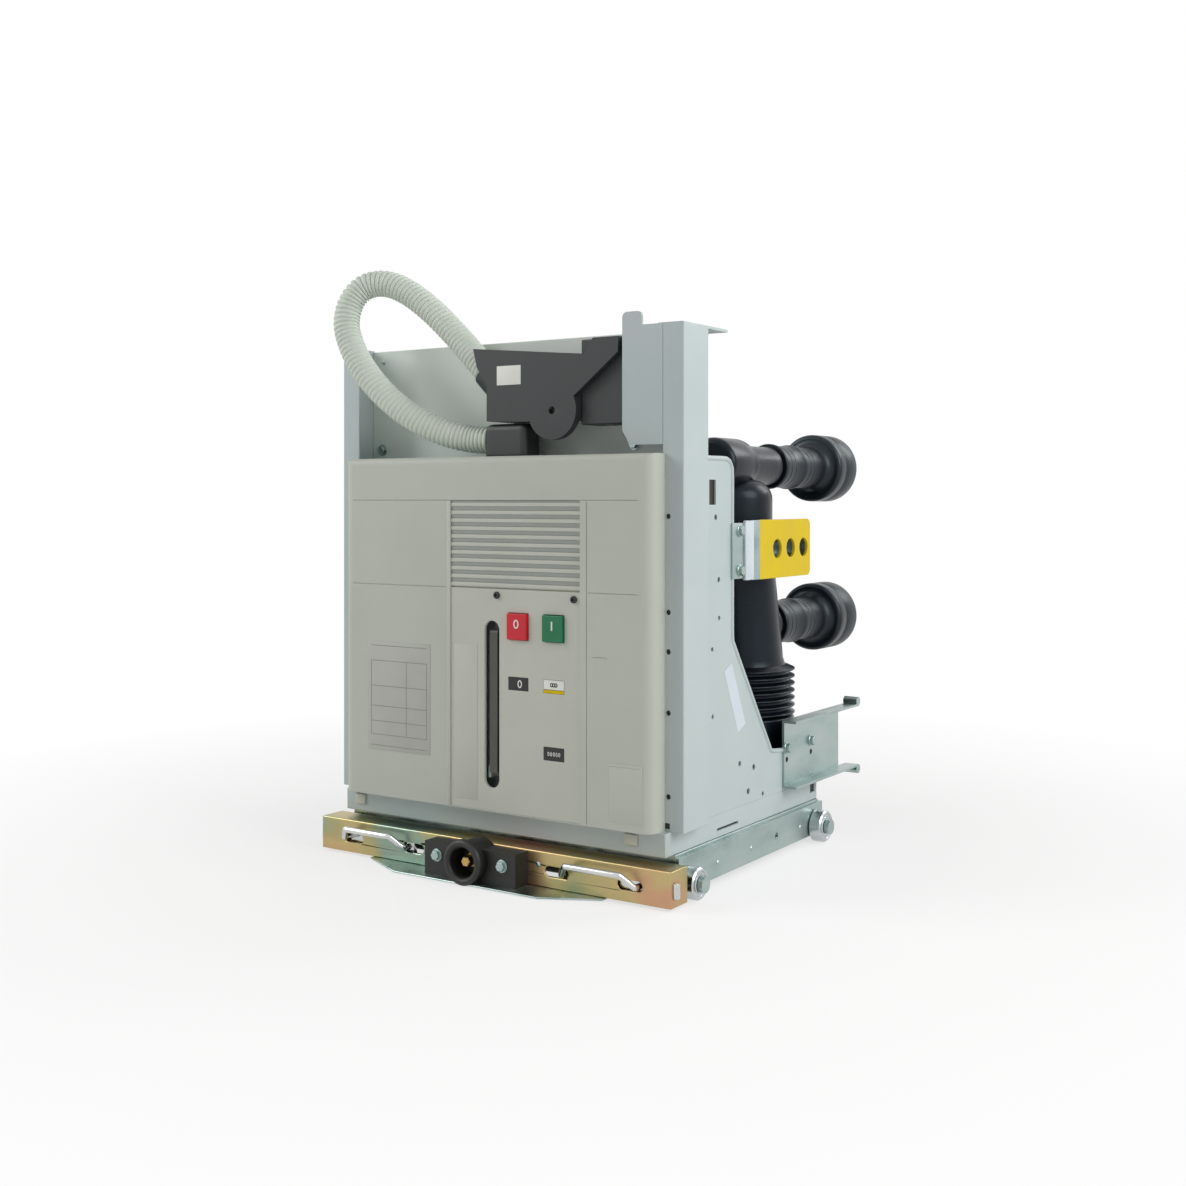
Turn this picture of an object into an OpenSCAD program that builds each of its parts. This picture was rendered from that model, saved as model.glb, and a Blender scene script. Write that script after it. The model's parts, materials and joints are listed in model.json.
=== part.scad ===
// Withdrawable medium-voltage circuit breaker on a racking truck, in millimetres.
// X runs to the right as seen from the front, Y to the rear and Z up from the floor.
// The modules measure Y from the face of the front cover; seated() then moves the
// whole machine so that the origin lies on the floor under the middle of its box.

/* [Poles and contacts] */
// Gap between the sheds of neighbouring poles
shed_gap = 14; // [8:1:30]
// Height of the lower contact axis above the floor
lower_contact_z = 266; // [258:1:280]
// Distance between the upper and lower contact axes
contact_spacing = 205; // [195:1:215]
// Distance that the pole body stands in front of the foot's axis
pole_lead = 18; // [10:1:24]
// Radius of the pole body
pole_r = 48; // [42:1:54]
// Radius of the pole body where it meets the sheds
neck_r = 54; // [48:1:58]
// Height above the lower contact axis where the body begins to lean back
lean_rise = 108; // [80:1:130]
// Radius of the pole body's round shoulder
shoulder_r = 24; // [16:1:30]
// Distance of the pole body's top below the upper contact axis
shoulder_drop = 19; // [10:1:24]
// Depth of a shed around the foot
shed_depth = 7; // [5:1:12]
// Radius over the insulator sheds
shed_r = 68; // [62:1:72]
// Number of insulator sheds
shed_count = 7; // [4:1:8]
// Height of the lowest shed above the base
shed_start = 84; // [70:1:90]
// Distance from one shed to the next
shed_pitch = 9; // [8:0.5:10]
// Radius of the horizontal head on top of the pole
head_r = 33; // [30:1:36]
// Length of the head in front of the pole axis
head_front = 62; // [50:1:70]
// Length of the head behind the pole axis
head_rear = 19; // [10:1:30]
// Length that the seat of the lower contact arm stands out behind the pole body
seat_out = 2; // [1:0.5:8]
// Radius of the bare contact arm
arm_r = 25; // [22:1:27]
// Radius of the insulating sleeve on the arm
sleeve_r = 27.5; // [26:0.5:30]
// Radius of the ring collars on the sleeve
collar_r = 29.5; // [28.5:0.5:32]
// Width of a ring collar
collar_w = 8; // [5:1:12]
// Length of the bare contact arm
arm_len = 41; // [34:1:54]
// Distance from one sleeve collar to the next
collar_pitch = 48; // [40:1:50]
// Length of the insulating sleeve
sleeve_len = 109; // [108:1:130]
// Length of a contact shroud
shroud_len = 56; // [48:1:64]
// Outer radius of a contact shroud
shroud_r = 46; // [42:1:50]
// Wall of a contact shroud
shroud_wall = 5; // [3:0.5:8]
// Thickness of the closed end of a shroud
shroud_floor = 8; // [5:1:12]
// Outer radius of a tulip contact
tulip_r = 32; // [28:1:35]
// Radius of the bore that takes the fixed contact pin
tulip_bore_r = 17.5; // [12:0.5:20]
// Distance that the tulip sits inside the shroud's mouth
tulip_inset = 6; // [2:1:12]

/* [Front cover] */
// Distance of the cover's edge inside the side wall's face
cover_inset = 7; // [4:0.5:12]
// Height of the cover's plain header above the louvre
header_h = 50; // [30:1:60]
// Depth of the front cover
cover_depth = 26; // [24:1:36]
// Wall of the front cover
cover_wall = 5; // [3:0.5:6]
// Radius of the cover's front corners
cover_corner_r = 17; // [10:1:22]
// Radius of the cover's top edge
cover_top_r = 9; // [6:1:12]
// Left edge of the central column from the middle
column_left = -52; // [-60:1:-40]
// Right edge of the central column from the middle
column_right = 128; // [115:1:140]
// Height of the plain strip between buttons and louvre
panel_margin = 26.5; // [20:0.5:36]
// Height of the louvre above the control panel
louvre_h = 100; // [80:1:110]
// Number of louvre blades
louvre_blades = 11; // [6:1:14]
// Depth of the panel and louvre behind the cover face
panel_sink = 0.8; // [0.4:0.1:2]

/* [Controls] */
// Side to side place of the charging lever
lever_x = 7.5; // [0:0.5:12]
// Width of the lever slot
slot_w = 21; // [20:1:26]
// Lower end of the lever slot above the cover's lower edge
slot_bottom = 27; // [20:1:35]
// Distance of the slot's upper end below the louvre
slot_drop = 36; // [20:1:60]
// Width of the charging lever
lever_w = 11; // [8:0.5:11]
// Thickness of the charging lever
lever_t = 9; // [6:0.5:10]
// Radius of the lever's pivot pin
lever_pin_r = 3.5; // [2.5:0.5:4]
// Wall of the lever around its pivot pin
lever_boss_wall = 3.5; // [2.5:0.5:4]
// Distance of the pivot behind the cover face
pivot_y = 14; // [13:0.5:16]
// Thickness of the ears that carry the pivot pin
ear_t = 4; // [3:0.5:6]
// Side to side place of the opening button
open_button_x = 44.5; // [38:0.5:50]
// Side to side place of the closing button
close_button_x = 93; // [85:0.5:100]
// Height of both buttons above the cover's lower edge
button_z = 211; // [200:1:220]
// Width of a button
button_w = 27; // [20:0.5:30]
// Height of a button
button_h = 29; // [20:0.5:32]
// Length that a button stands out of the panel
button_out = 4; // [2:0.5:6]
// Gap around a button in its opening
button_gap = 0.6; // [0.4:0.1:1]
// Width of a button's retaining flange
button_flange = 3; // [2:0.5:5]
// Distance of the position windows below the buttons
window_drop = 64; // [50:1:75]
// Distance of the counter window below the position windows
counter_drop = 74; // [30:1:90]
// Width of an indicator window
window_w = 28; // [20:1:32]
// Height of an indicator window
window_h = 15; // [10:1:18]
// Depth of the seat of an indicator window
window_seat = 2.5; // [1.5:0.1:3]
// Thickness of an indicator window
window_t = 2; // [1:0.1:2.4]

/* [Housing] */
// Thickness of folded sheet steel
sheet = 3; // [2:0.5:4]
// Distance of a side wall's face from the outer pole axis
pole_to_wall = 77; // [74:1:90]
// Gap between the crosspiece's top and the base
base_clear = 7; // [6:0.5:14]
// Height of the base
base_h = 26; // [22:1:32]
// Front of the base behind the cover face
base_front_y = 15; // [8:1:20]
// Length of the base behind the axis of the pole feet
base_tail = 60; // [57:1:70]
// Rear edge of the housing's upper part behind the cover face
housing_rear_y = 165; // [150:1:180]
// Rear edge of the housing's lower part behind the cover face
housing_foot_y = 262; // [255:1:268]
// Height of the housing's upper part where its slope begins
slope_top_z = 268; // [255:1:285]
// Height of the housing's lower part where its slope ends
slope_bottom_z = 128; // [120:1:140]
// Height of the side wall's rear end
wall_tail_z = 112; // [100:1:118]
// Distance that the side walls stand above the housing
wall_rise = 3; // [1:0.5:6]
// Radius of a side wall's upper rear corner
wall_corner_r = 12; // [6:1:20]
// Width of the folded edge of a side wall
wall_fold = 14; // [8:1:20]

/* [Plug frame] */
// Distance that an upright stands outside the side wall
upright_out = 16; // [12:1:22]
// Width of an upright's front flange
upright_face = 26; // [24:1:32]
// Depth of an upright's side flange
upright_depth = 54; // [50:1:64]
// Height of an upright's top above the housing
upright_rise = 144; // [138:1:170]
// Width of the plug bracket beside the upright
bracket_w = 51; // [40:1:58]
// Lower edge of the plug bracket above the housing
bracket_lift = 15; // [8:1:30]
// Side length of the bracket's cut corner
bracket_cut = 16; // [6:1:20]
// Width of the bracket's top tab
bracket_tab_w = 25; // [18:1:30]
// Height of the bracket's top tab
bracket_tab_h = 15; // [8:1:20]
// Radius of the tab's upper corners
bracket_tab_r = 6; // [3:1:9]
// Length of the top rail that runs back from the bracket
rail_len = 100; // [60:1:130]
// Width of the top rail
rail_w = 30; // [20:1:36]

/* [Plug and conduit] */
// Distance of the plug's front plate behind the cover face
plug_front_y = 28; // [20:1:30]
// Thickness of the plug's front plate
plug_plate = 10; // [6:1:11]
// Rear of the plug behind the cover face
plug_rear_y = 75; // [70:1:77]
// Radius of the plug's pivot lobe
lobe_r = 33; // [26:1:36]
// Outer diameter of the conduit
conduit_d = 32; // [24:1:36]
// Rim of the plug's conduit collar around the conduit
collar_rim = 2; // [1:0.5:4]
// Length of the plug's conduit collar
plug_collar_len = 26; // [20:1:32]
// Width of the conduit fitting on the housing
fitting_w = 60; // [50:1:64]
// Depth of the conduit fitting
fitting_depth = 33; // [32:1:42]
// Height of the conduit fitting
fitting_h = 43; // [42:1:50]

/* [Lifting plates and shutter rails] */
// Thickness of a lifting plate
lift_t = 4; // [3:0.5:6]
// Length of a lifting plate in front of the housing's rear edge
lift_lap = 19; // [12:1:30]
// Length of a lifting plate behind the housing's rear edge
lift_reach = 197; // [170:1:215]
// Height of a lifting plate's lower edge above the floor
lift_z = 334; // [300:1:360]
// Height of a lifting plate
lift_h = 70; // [55:1:80]
// Radius of a lifting hole
lift_hole_r = 11.5; // [8:0.5:13]
// Radius of a lifting plate's rear corners
lift_corner_r = 8; // [4:1:14]
// Distance of the last lifting hole from the plate's rear end
lift_hole_inset = 19; // [16:1:30]
// Distance from one lifting hole to the next
lift_hole_pitch = 36; // [30:1:40]
// Length of a shutter rail on the side wall
shutter_lap = 99; // [80:1:110]
// Length of a shutter rail's web behind the base
shutter_reach = 59; // [40:1:70]
// Height of a shutter rail's lower flange above the base
shutter_lift = 3; // [1:1:10]
// Height over a shutter rail's flanges
shutter_h = 82; // [70:1:90]
// Width of a shutter rail's flange
shutter_flange = 19; // [12:1:24]
// Length that the flanges run on behind the web
shutter_tail = 28; // [15:1:40]
// Radius of the rolled ends of the flanges
shutter_roll_r = 6; // [4:0.5:8]

/* [Truck] */
// Distance that a wheel's outer face stands outside the side wall
wheel_out = 22; // [20:1:28]
// Width of a wheel
wheel_w = 16; // [12:1:18]
// Radius of a front wheel
front_wheel_r = 17.5; // [15:0.5:18]
// Radius of a rear wheel
rear_wheel_r = 19.5; // [17:0.5:21]
// Distance of a front wheel's rim behind the truck's front edge
front_wheel_inset = 0.5; // [0:0.5:8]
// Distance of a rear wheel's rim in front of the truck's rear edge
rear_wheel_inset = 3.5; // [0:0.5:30]
// Radius of a wheel's stub axle
axle_r = 6; // [4:0.5:8]
// Radial clearance of a wheel on its axle
axle_fit = 0.05; // [0.02:0.01:0.1]
// Gap at each face of a wheel
wheel_gap = 0.5; // [0.3:0.1:1]
// Radius of the head that keeps a wheel on its axle
axle_head_r = 9; // [8.5:0.5:12]
// Thickness of the head that keeps a wheel on its axle
axle_head_t = 6; // [4:0.5:8]
// Thickness of the truck's side plates
truck_side_t = 4; // [3:0.5:6]
// Height of the side plates' lower edge above the floor
truck_low_z = 8; // [6:1:12]
// Height of the spacer strips between truck and base
spacer_h = 3; // [2:0.5:5]
// Width of a spacer strip
spacer_w = 30; // [20:1:40]
// Length of the truck behind the base
truck_tail = 4; // [3:0.5:10]
// Radius of the racking screw
screw_r = 8; // [6:0.5:9]
// Radial clearance of the racking screw in its nut
screw_fit = 0.05; // [0.02:0.01:0.1]
// Length of the racking screw behind the crosspiece
screw_len = 272; // [260:1:300]
// Width of the nut block under the deck
nut_w = 36; // [30:1:50]
// Length of the nut block
nut_len = 30; // [20:1:32]

/* [Crosspiece] */
// Distance that the crosspiece's end stands outside the side wall
cross_over = 20; // [14:1:22]
// Distance that the crosspiece stands out in front of the cover face
cross_out = 7; // [0:1:12]
// Depth of the crosspiece
cross_depth = 35; // [30:1:35]
// Height of the crosspiece's underside above the floor
cross_z = 3; // [3:0.5:4]
// Height of the crosspiece
cross_h = 39; // [36:1:41]
// Gap between the crosspiece and the truck
cross_gap = 6; // [5:0.5:10]
// Height of the locking bars' axis above the crosspiece's underside
latch_rise = 18; // [16:1:20]
// Distance of a handle's outer leg from the crosspiece's end
leg_inset = 41; // [34:1:46]
// Distance between the legs of a handle
leg_span = 94; // [80:1:98]
// Radius of the handle rod
rod_r = 3.5; // [2.5:0.5:4]
// Length that two stretches of the handle rod share at a bend
bend_lap = 1.5; // [0.5:0.5:2]
// Distance that the handle stands out in front of the crosspiece
handle_out = 18; // [14:1:30]
// Distance that the handle's grip lies above the legs
handle_rise = 14; // [6:1:18]
// Distance that the handle's grip is shorter at each end than the legs
handle_draw = 14; // [6:1:20]
// Travel of a locking bar
latch_travel = 20; // [10:1:22]
// Room around a handle's leg in its slot
leg_gap = 2; // [1:0.5:3]
// Height of a locking bar
latch_bar_h = 16; // [14:1:18]
// Thickness of a locking bar
latch_bar_t = 6; // [4:0.5:8]
// Room around a locking bar in the crosspiece's end
latch_gap = 0.3; // [0.2:0.1:1]
// Length that a locking bar stands out of the crosspiece's end
latch_out = 5; // [2:0.5:8]
// Width of a guide arm
guide_w = 20; // [14:1:26]
// Height of a guide arm
guide_h = 10; // [8:0.5:11]
// Distance of a guide arm from the truck's side plate
guide_inset = 28.5; // [26:0.5:50]
// Length of a guide arm behind the crosspiece's rear edge
guide_len = 244; // [235:1:260]
// Room around a guide arm in the deck's front
guide_gap = 0.5; // [0.3:0.1:1]
// Width of the drive block
drive_w = 128; // [110:1:150]
// Distance that the drive block stands out in front of the crosspiece
drive_out = 24; // [16:1:30]
// Outer radius of the racking socket
socket_r = 22.5; // [20:0.5:23]
// Inner radius of the racking socket
socket_bore_r = 17; // [14:0.5:18]
// Distance that the socket stands out in front of the crosspiece
socket_out = 36; // [32:1:44]
// Depth of the screw's end inside the socket
screw_inset = 18; // [12:1:20]
// Thickness of the shelf under the drive block
shelf_t = 2; // [1:0.5:2]
// Half width of the shelf at the crosspiece
shelf_half = 165; // [150:1:180]
// Half width of the shelf at its front edge
shelf_front_half = 100; // [80:1:120]
// Distance that the shelf stands out in front of the crosspiece
shelf_out = 37; // [30:1:44]

/* [Hidden] */
$fn = 64;
left = -1;
right = 1;
// Overlap that joins the parts of one solid, or carries a cut past a face
join = 1;

// Height of the pivot above the lower end of the lever slot
pivot_rise = 17;
// Height of the charging lever's end below the slot's upper end
lever_short = 10;
// Distance that the housing's top lies below the cover's top
cover_stand = 5;
// Distance that the back sheet and the top rail lie below the uprights' top
top_step = 2;
// Height of the cover's sill under the control panel
panel_sill = 1;
// Share of the bracket's cut corner that runs sideways
bracket_cut_run = 0.6;
// Angles of the points along a side wall's rounded corner
corner_turns = [0 : 15 : 90];

// Louvre: thickness of its back, depth of a blade in it, and where a blade's face lies in its pitch
louvre_back = 1.5;
blade_lap = 0.5;
blade_face_low = 0.3;
blade_face_high = 0.62;

// Gap at each side of the lever between its ears, and the arm's distance in front of the pivot
lever_gap = 0.5;
lever_lead = 1;
// Gap between a button's flange and the panel, and the flange's thickness
button_seat_gap = 0.3;
button_flange_t = 4;

// Racking screw: room in the deck, the crosspiece and the drive block, and the nut's wall under it
deck_screw_room = 4;
cross_screw_room = 1;
drive_screw_room = 0.3;
nut_wall = 8;
// Depth of the racking socket behind the screw's end
socket_tail = 6;
// Distance of the drive block's top below the crosspiece's top
drive_drop = 2;
// Length of the shelf under the crosspiece, and in front of it before its sides draw in
shelf_lap = 12;
shelf_shoulder = 4;
// Length of a guide arm inside the crosspiece
guide_lap = 18;

// Locking bar: distance behind the front sheet, length past the inner leg, and the legs' straight length
latch_setback = 2;
latch_end = 4;
handle_knee = 6;

// Heights of a shed's lip above the shed's root
shed_lip_low = 2;
shed_lip_high = 4;
// Distance of the plain foot's surface inside the sheds' lips
foot_step = 1;
collar_count = 3;
lift_hole_count = 3;

pole_pitch = 2 * shed_r + shed_gap;
shed_root_r = shed_r - shed_depth;
body_half = pole_pitch + pole_to_wall;
cover_w = 2 * (body_half - cover_inset);
upright_half = body_half + upright_out;
cross_w = 2 * (body_half + cross_over);
wheel_track = 2 * (body_half + wheel_out);

cross_front_y = -cross_out;
cross_rear_y = cross_front_y + cross_depth;
cross_top_z = cross_z + cross_h;
base_z = cross_top_z + base_clear;
base_top_z = base_z + base_h;

panel_h = button_z + button_h / 2 + panel_margin;
slot_len = panel_h - slot_bottom - slot_drop;
window_z = button_z - window_drop;
counter_z = window_z - counter_drop;
cover_h = panel_h + louvre_h + header_h;
cover_z = base_top_z;
cover_top_z = cover_z + cover_h;
panel_z = cover_z + panel_sill;
panel_top_z = cover_z + panel_h;
louvre_top_z = panel_top_z + louvre_h;
slot_low_z = cover_z + slot_bottom;
pivot_z = slot_low_z + pivot_rise;
lever_top_z = slot_low_z + slot_len - lever_short;

housing_front_y = cover_depth + sheet;
housing_top_z = cover_top_z - cover_stand;
wall_top_z = housing_top_z + wall_rise;
foot_y = housing_foot_y + shed_r;
pole_y = foot_y - pole_lead;
base_rear_y = foot_y + base_tail;
upper_contact_z = lower_contact_z + contact_spacing;
lean_top_z = lower_contact_z + lean_rise;
shed_top_z = base_top_z + shed_start + shed_count * shed_pitch;
// Rear edge of the leaning body at the underside of the lower contact arm
lean_share = (lean_top_z - lower_contact_z + arm_r) / (lean_top_z - shed_top_z);
body_rear_y = pole_y + pole_r + lean_share * (pole_lead + neck_r - pole_r);
seat_y = body_rear_y + seat_out;
sleeve_y = seat_y + arm_len;
shroud_y = sleeve_y + sleeve_len;
contact_end_y = shroud_y + shroud_len;

upright_y = cover_depth;
upright_top_z = housing_top_z + upright_rise;
upright_foot_z = base_top_z;
face_edge = upright_half - upright_face;
bracket_left = face_edge - bracket_w;

truck_front_y = cross_rear_y + cross_gap;
truck_rear_y = base_rear_y + truck_tail;
front_axle_y = truck_front_y + front_wheel_inset + front_wheel_r;
rear_axle_y = truck_rear_y - rear_wheel_inset - rear_wheel_r;
truck_half = wheel_track / 2 - wheel_w - wheel_gap;
deck_half = truck_half - truck_side_t;
deck_top_z = base_z - spacer_h;
guide_x = deck_half - guide_inset;
screw_z = cross_z + socket_r;
latch_z = cross_z + latch_rise;
latch_bar_y = cross_front_y + sheet + latch_setback;
leg_x = cross_w / 2 - leg_inset - leg_span;
handle_y = cross_front_y - handle_out;

lift_front_y = housing_rear_y - lift_lap;
lift_rear_y = housing_rear_y + lift_reach;
lift_hole_y = lift_rear_y - lift_hole_inset - (lift_hole_count - 1) * lift_hole_pitch;
shutter_front_y = base_rear_y - shutter_lap;
shutter_rear_y = base_rear_y + shutter_reach;
shutter_z = base_top_z + shutter_lift;

front_end_y = cross_front_y - max(socket_out, shelf_out, handle_out + rod_r);
origin_y = (front_end_y + contact_end_y) / 2;

// Plug outline, as places from the middle and heights above the housing
plug_left = -21;
plug_split = 104;
plug_lap = 34;
plug_end = bracket_left + plug_lap;
plug_low = 44;
plug_heel = 2;
plug_skirt = 5;
plug_high = 134;
plug_body_high = 116;
lobe_at = [71, plug_low + 12];
plug_outline = [
    [-41, 131], [115, 117], [126, 134], [160, 134], [159, 117],
    [102, 72], [38, plug_low], [plug_left, plug_low + plug_heel], [plug_left, 90], [-35, 108]
];

// Conduit route: from the plug's collar, over the top and round to the fitting
conduit_route = [
    [-40, 56, 577], [-58, 56, 595], [-88, 54, 625], [-122, 48, 657], [-154, 42, 680],
    [-182, 35, 691], [-206, 26, 688], [-220, 16, 670], [-221, 8, 641], [-206, 4, 609],
    [-183, 4, 578], [-154, 10, 548], [-122, 20, 524], [-88, 33, 507], [-56, 43, 499],
    [-27, 46, 497]
];
conduit_sides = 12;
plug_exit = conduit_route[0];
fitting_entry = conduit_route[len(conduit_route) - 1];

module seated() {
    translate([0, -origin_y, 0]) children();
}

module block(x, y, z) {
    translate([x[0], y[0], z[0]]) cube([x[1] - x[0], y[1] - y[0], z[1] - z[0]]);
}

module rod_x(x, y, z, r) {
    translate([x[0], y, z]) rotate([0, 90, 0]) cylinder(h = x[1] - x[0], r = r);
}

module rod_y(x, y, z, r) {
    translate([x, y[0], z]) rotate([-90, 0, 0]) cylinder(h = y[1] - y[0], r = r);
}

module rod_between(a, b, r) {
    v = b - a;
    turn = atan2(v.y, v.x);
    translate(a) rotate([0, acos(v.z / norm(v)), turn]) cylinder(h = norm(v), r = r);
}

// Outline drawn in Y and Z, drawn out along X
module side_profile(x) {
    translate([x[0], 0, 0]) rotate([90, 0, 90]) linear_extrude(x[1] - x[0]) children();
}

// Outline drawn in X and Z, drawn out along Y
module front_profile(y) {
    translate([0, y[1], 0]) rotate([90, 0, 0]) linear_extrude(y[1] - y[0]) children();
}

module on_side(side) {
    if (side == right) children();
    else mirror([1, 0, 0]) children();
}

module both_sides() {
    for (side = [left, right]) on_side(side) children();
}

// Truck

module truck_side(side) {
    on_side(side) color("LightSteelBlue") {
        block([deck_half, truck_half], [truck_front_y, truck_rear_y], [truck_low_z, deck_top_z]);
        stub_axle(front_axle_y, front_wheel_r);
        stub_axle(rear_axle_y, rear_wheel_r);
    }
}

module stub_axle(y, z) {
    outer = wheel_track / 2 + wheel_gap;
    rod_x([truck_half - join, outer + join], y, z, axle_r);
    rod_x([outer, outer + axle_head_t], y, z, axle_head_r);
}

module truck_deck() {
    color("LightSteelBlue") {
        block([-deck_half, deck_half], [truck_front_y, truck_rear_y], [deck_top_z - sheet, deck_top_z]);
        both_sides() block([deck_half - spacer_w, deck_half],
                           [truck_front_y, base_rear_y], [deck_top_z - join, base_z]);
        block([-deck_half, deck_half], [truck_rear_y - sheet, truck_rear_y],
              [truck_low_z, deck_top_z - sheet + join]);
        difference() {
            block([-deck_half, deck_half], [truck_front_y, truck_front_y + sheet],
                  [truck_low_z, deck_top_z - sheet + join]);
            both_sides() guide_notch();
            rod_y(0, [truck_front_y - join, truck_front_y + sheet + join],
                  screw_z, screw_r + deck_screw_room);
        }
    }
}

module guide_notch() {
    half = guide_w / 2 + guide_gap;
    block([guide_x - half, guide_x + half], [truck_front_y - join, truck_front_y + sheet + join],
          [0, cross_z + sheet + guide_h + guide_gap]);
}

module screw_nut() {
    y = [truck_front_y + sheet, truck_front_y + sheet + nut_len];
    color("DarkGoldenrod") difference() {
        block([-nut_w / 2, nut_w / 2], y, [screw_z - screw_r - nut_wall, deck_top_z - sheet]);
        rod_y(0, [y[0] - join, y[1] + join], screw_z, screw_r + screw_fit);
    }
}

module wheel(side, y, r) {
    outer = wheel_track / 2;
    on_side(side) color("Silver") difference() {
        rod_x([outer - wheel_w, outer], y, r, r);
        rod_x([outer - wheel_w - join, outer + join], y, r, axle_r + axle_fit);
    }
}

// Crosspiece with its racking drive and locking bars

module crosspiece() {
    half = cross_w / 2;
    color("Goldenrod") difference() {
        block([-half, half], [cross_front_y, cross_rear_y], [cross_z, cross_top_z]);
        block([-half + sheet, half - sheet], [cross_front_y + sheet, cross_rear_y + join],
              [cross_z + sheet, cross_top_z - sheet]);
        both_sides() for (x = [leg_x, leg_x + leg_span]) handle_slot(x);
        both_sides() latch_window();
        rod_y(0, [cross_front_y - join, cross_front_y + sheet + join], screw_z, screw_r + cross_screw_room);
    }
}

module handle_slot(x) {
    r = rod_r + leg_gap;
    y = [cross_front_y - join, cross_front_y + sheet + join];
    block([x - latch_travel, x], y, [latch_z - r, latch_z + r]);
    for (end = [x - latch_travel, x]) rod_y(end, y, latch_z, r);
}

module latch_window() {
    block([cross_w / 2 - sheet - join, cross_w / 2 + join],
          [latch_bar_y - latch_gap, latch_bar_y + latch_bar_t + latch_gap],
          [latch_z - latch_bar_h / 2 - latch_gap, latch_z + latch_bar_h / 2 + latch_gap]);
}

module latch(side) {
    inner = leg_x;
    outer = leg_x + leg_span;
    knee_y = cross_front_y - handle_knee;
    grip_z = latch_z + handle_rise;
    rest = latch_bar_y + latch_bar_t / 2;
    points = [
        [inner, rest, latch_z], [inner, knee_y, latch_z],
        [inner + handle_draw, handle_y, grip_z], [outer - handle_draw, handle_y, grip_z],
        [outer, knee_y, latch_z], [outer, rest, latch_z]
    ];
    on_side(side) color("Gainsboro") {
        block([inner - rod_r - latch_end, cross_w / 2 + latch_out], [latch_bar_y, latch_bar_y + latch_bar_t],
              [latch_z - latch_bar_h / 2, latch_z + latch_bar_h / 2]);
        for (i = [0 : len(points) - 2]) handle_stretch(points[i], points[i + 1]);
    }
}

// One straight stretch of the handle, eight-sided and lapped into its neighbours
module handle_stretch(a, b) {
    along = (b - a) / norm(b - a) * bend_lap;
    rod_between(a - along, b + along, rod_r, $fn = 8);
}

module guide_arms() {
    color("LightSteelBlue") both_sides()
        block([guide_x - guide_w / 2, guide_x + guide_w / 2],
              [cross_rear_y - guide_lap, cross_rear_y + guide_len],
              [cross_z + sheet, cross_z + sheet + guide_h]);
}

module drive_block() {
    front = cross_front_y - socket_out;
    color("DimGray") difference() {
        union() {
            block([-drive_w / 2, drive_w / 2], [cross_front_y - drive_out, cross_front_y],
                  [cross_z, cross_top_z - drive_drop]);
            rod_y(0, [front, cross_front_y], screw_z, socket_r);
        }
        rod_y(0, [front - join, front + screw_inset + socket_tail], screw_z, socket_bore_r);
        rod_y(0, [front, cross_front_y + join], screw_z, screw_r + drive_screw_room);
    }
}

module drive_shelf() {
    front = cross_front_y - shelf_out;
    color("SlateGray") translate([0, 0, cross_z - shelf_t]) linear_extrude(shelf_t) polygon([
        [-shelf_half, cross_front_y + shelf_lap], [-shelf_half, cross_front_y - shelf_shoulder],
        [-shelf_front_half, front], [shelf_front_half, front],
        [shelf_half, cross_front_y - shelf_shoulder], [shelf_half, cross_front_y + shelf_lap]
    ]);
}

module racking_screw() {
    start = cross_front_y - socket_out + screw_inset;
    color("BurlyWood") rod_y(0, [start, cross_rear_y + screw_len], screw_z, screw_r);
}

// Base, mechanism housing and side walls

module base_frame() {
    color("Gainsboro") block([-body_half, body_half], [base_front_y, base_rear_y], [base_z, base_top_z]);
}

module mechanism_housing() {
    color("LightGray") {
        side_profile([-body_half + sheet, body_half - sheet]) polygon([
            [housing_front_y, base_top_z], [housing_front_y, housing_top_z],
            [housing_rear_y - sheet, housing_top_z], [housing_rear_y - sheet, slope_top_z],
            [housing_foot_y - sheet, slope_bottom_z], [housing_foot_y - sheet, base_top_z]
        ]);
        lever_bearing();
    }
}

module lever_bearing() {
    half = lever_w / 2 + lever_gap;
    boss_r = lever_pin_r + lever_boss_wall;
    for (side = [left, right]) {
        inner = lever_x + side * half;
        outer = inner + side * ear_t;
        block([min(inner, outer), max(inner, outer)], [pivot_y - boss_r, housing_front_y + join],
              [pivot_z - boss_r, pivot_z + boss_r]);
    }
    rod_x([lever_x - half - join, lever_x + half + join], pivot_y, pivot_z, lever_pin_r);
}

function wall_outline() = [
    [housing_front_y, base_top_z], [housing_front_y, wall_top_z],
    for (a = corner_turns)
        [housing_rear_y - wall_corner_r * (1 - sin(a)), wall_top_z - wall_corner_r * (1 - cos(a))],
    [housing_rear_y, slope_top_z],
    [housing_foot_y, slope_bottom_z], [base_rear_y, wall_tail_z], [base_rear_y, base_top_z]
];

module side_wall(side) {
    on_side(side) color("WhiteSmoke") {
        side_profile([body_half - sheet, body_half]) polygon(wall_outline());
        block([body_half - sheet - wall_fold, body_half], [housing_rear_y - sheet, housing_rear_y],
              [slope_top_z, wall_top_z - wall_corner_r]);
    }
}

// Front cover with its controls

module rounded_plan(w, y, r) {
    translate([-w / 2, y[0] + r]) square([w, y[1] - y[0] - r]);
    translate([-w / 2 + r, y[0]]) square([w - 2 * r, r + join]);
    for (side = [left, right]) translate([side * (w / 2 - r), y[0] + r]) circle(r);
}

module cover_side_outline() {
    translate([cover_top_r, cover_z]) square([cover_depth - cover_top_r, cover_h]);
    translate([0, cover_z]) square([cover_depth, cover_h - cover_top_r]);
    translate([cover_top_r, cover_top_z - cover_top_r]) circle(cover_top_r);
}

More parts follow.
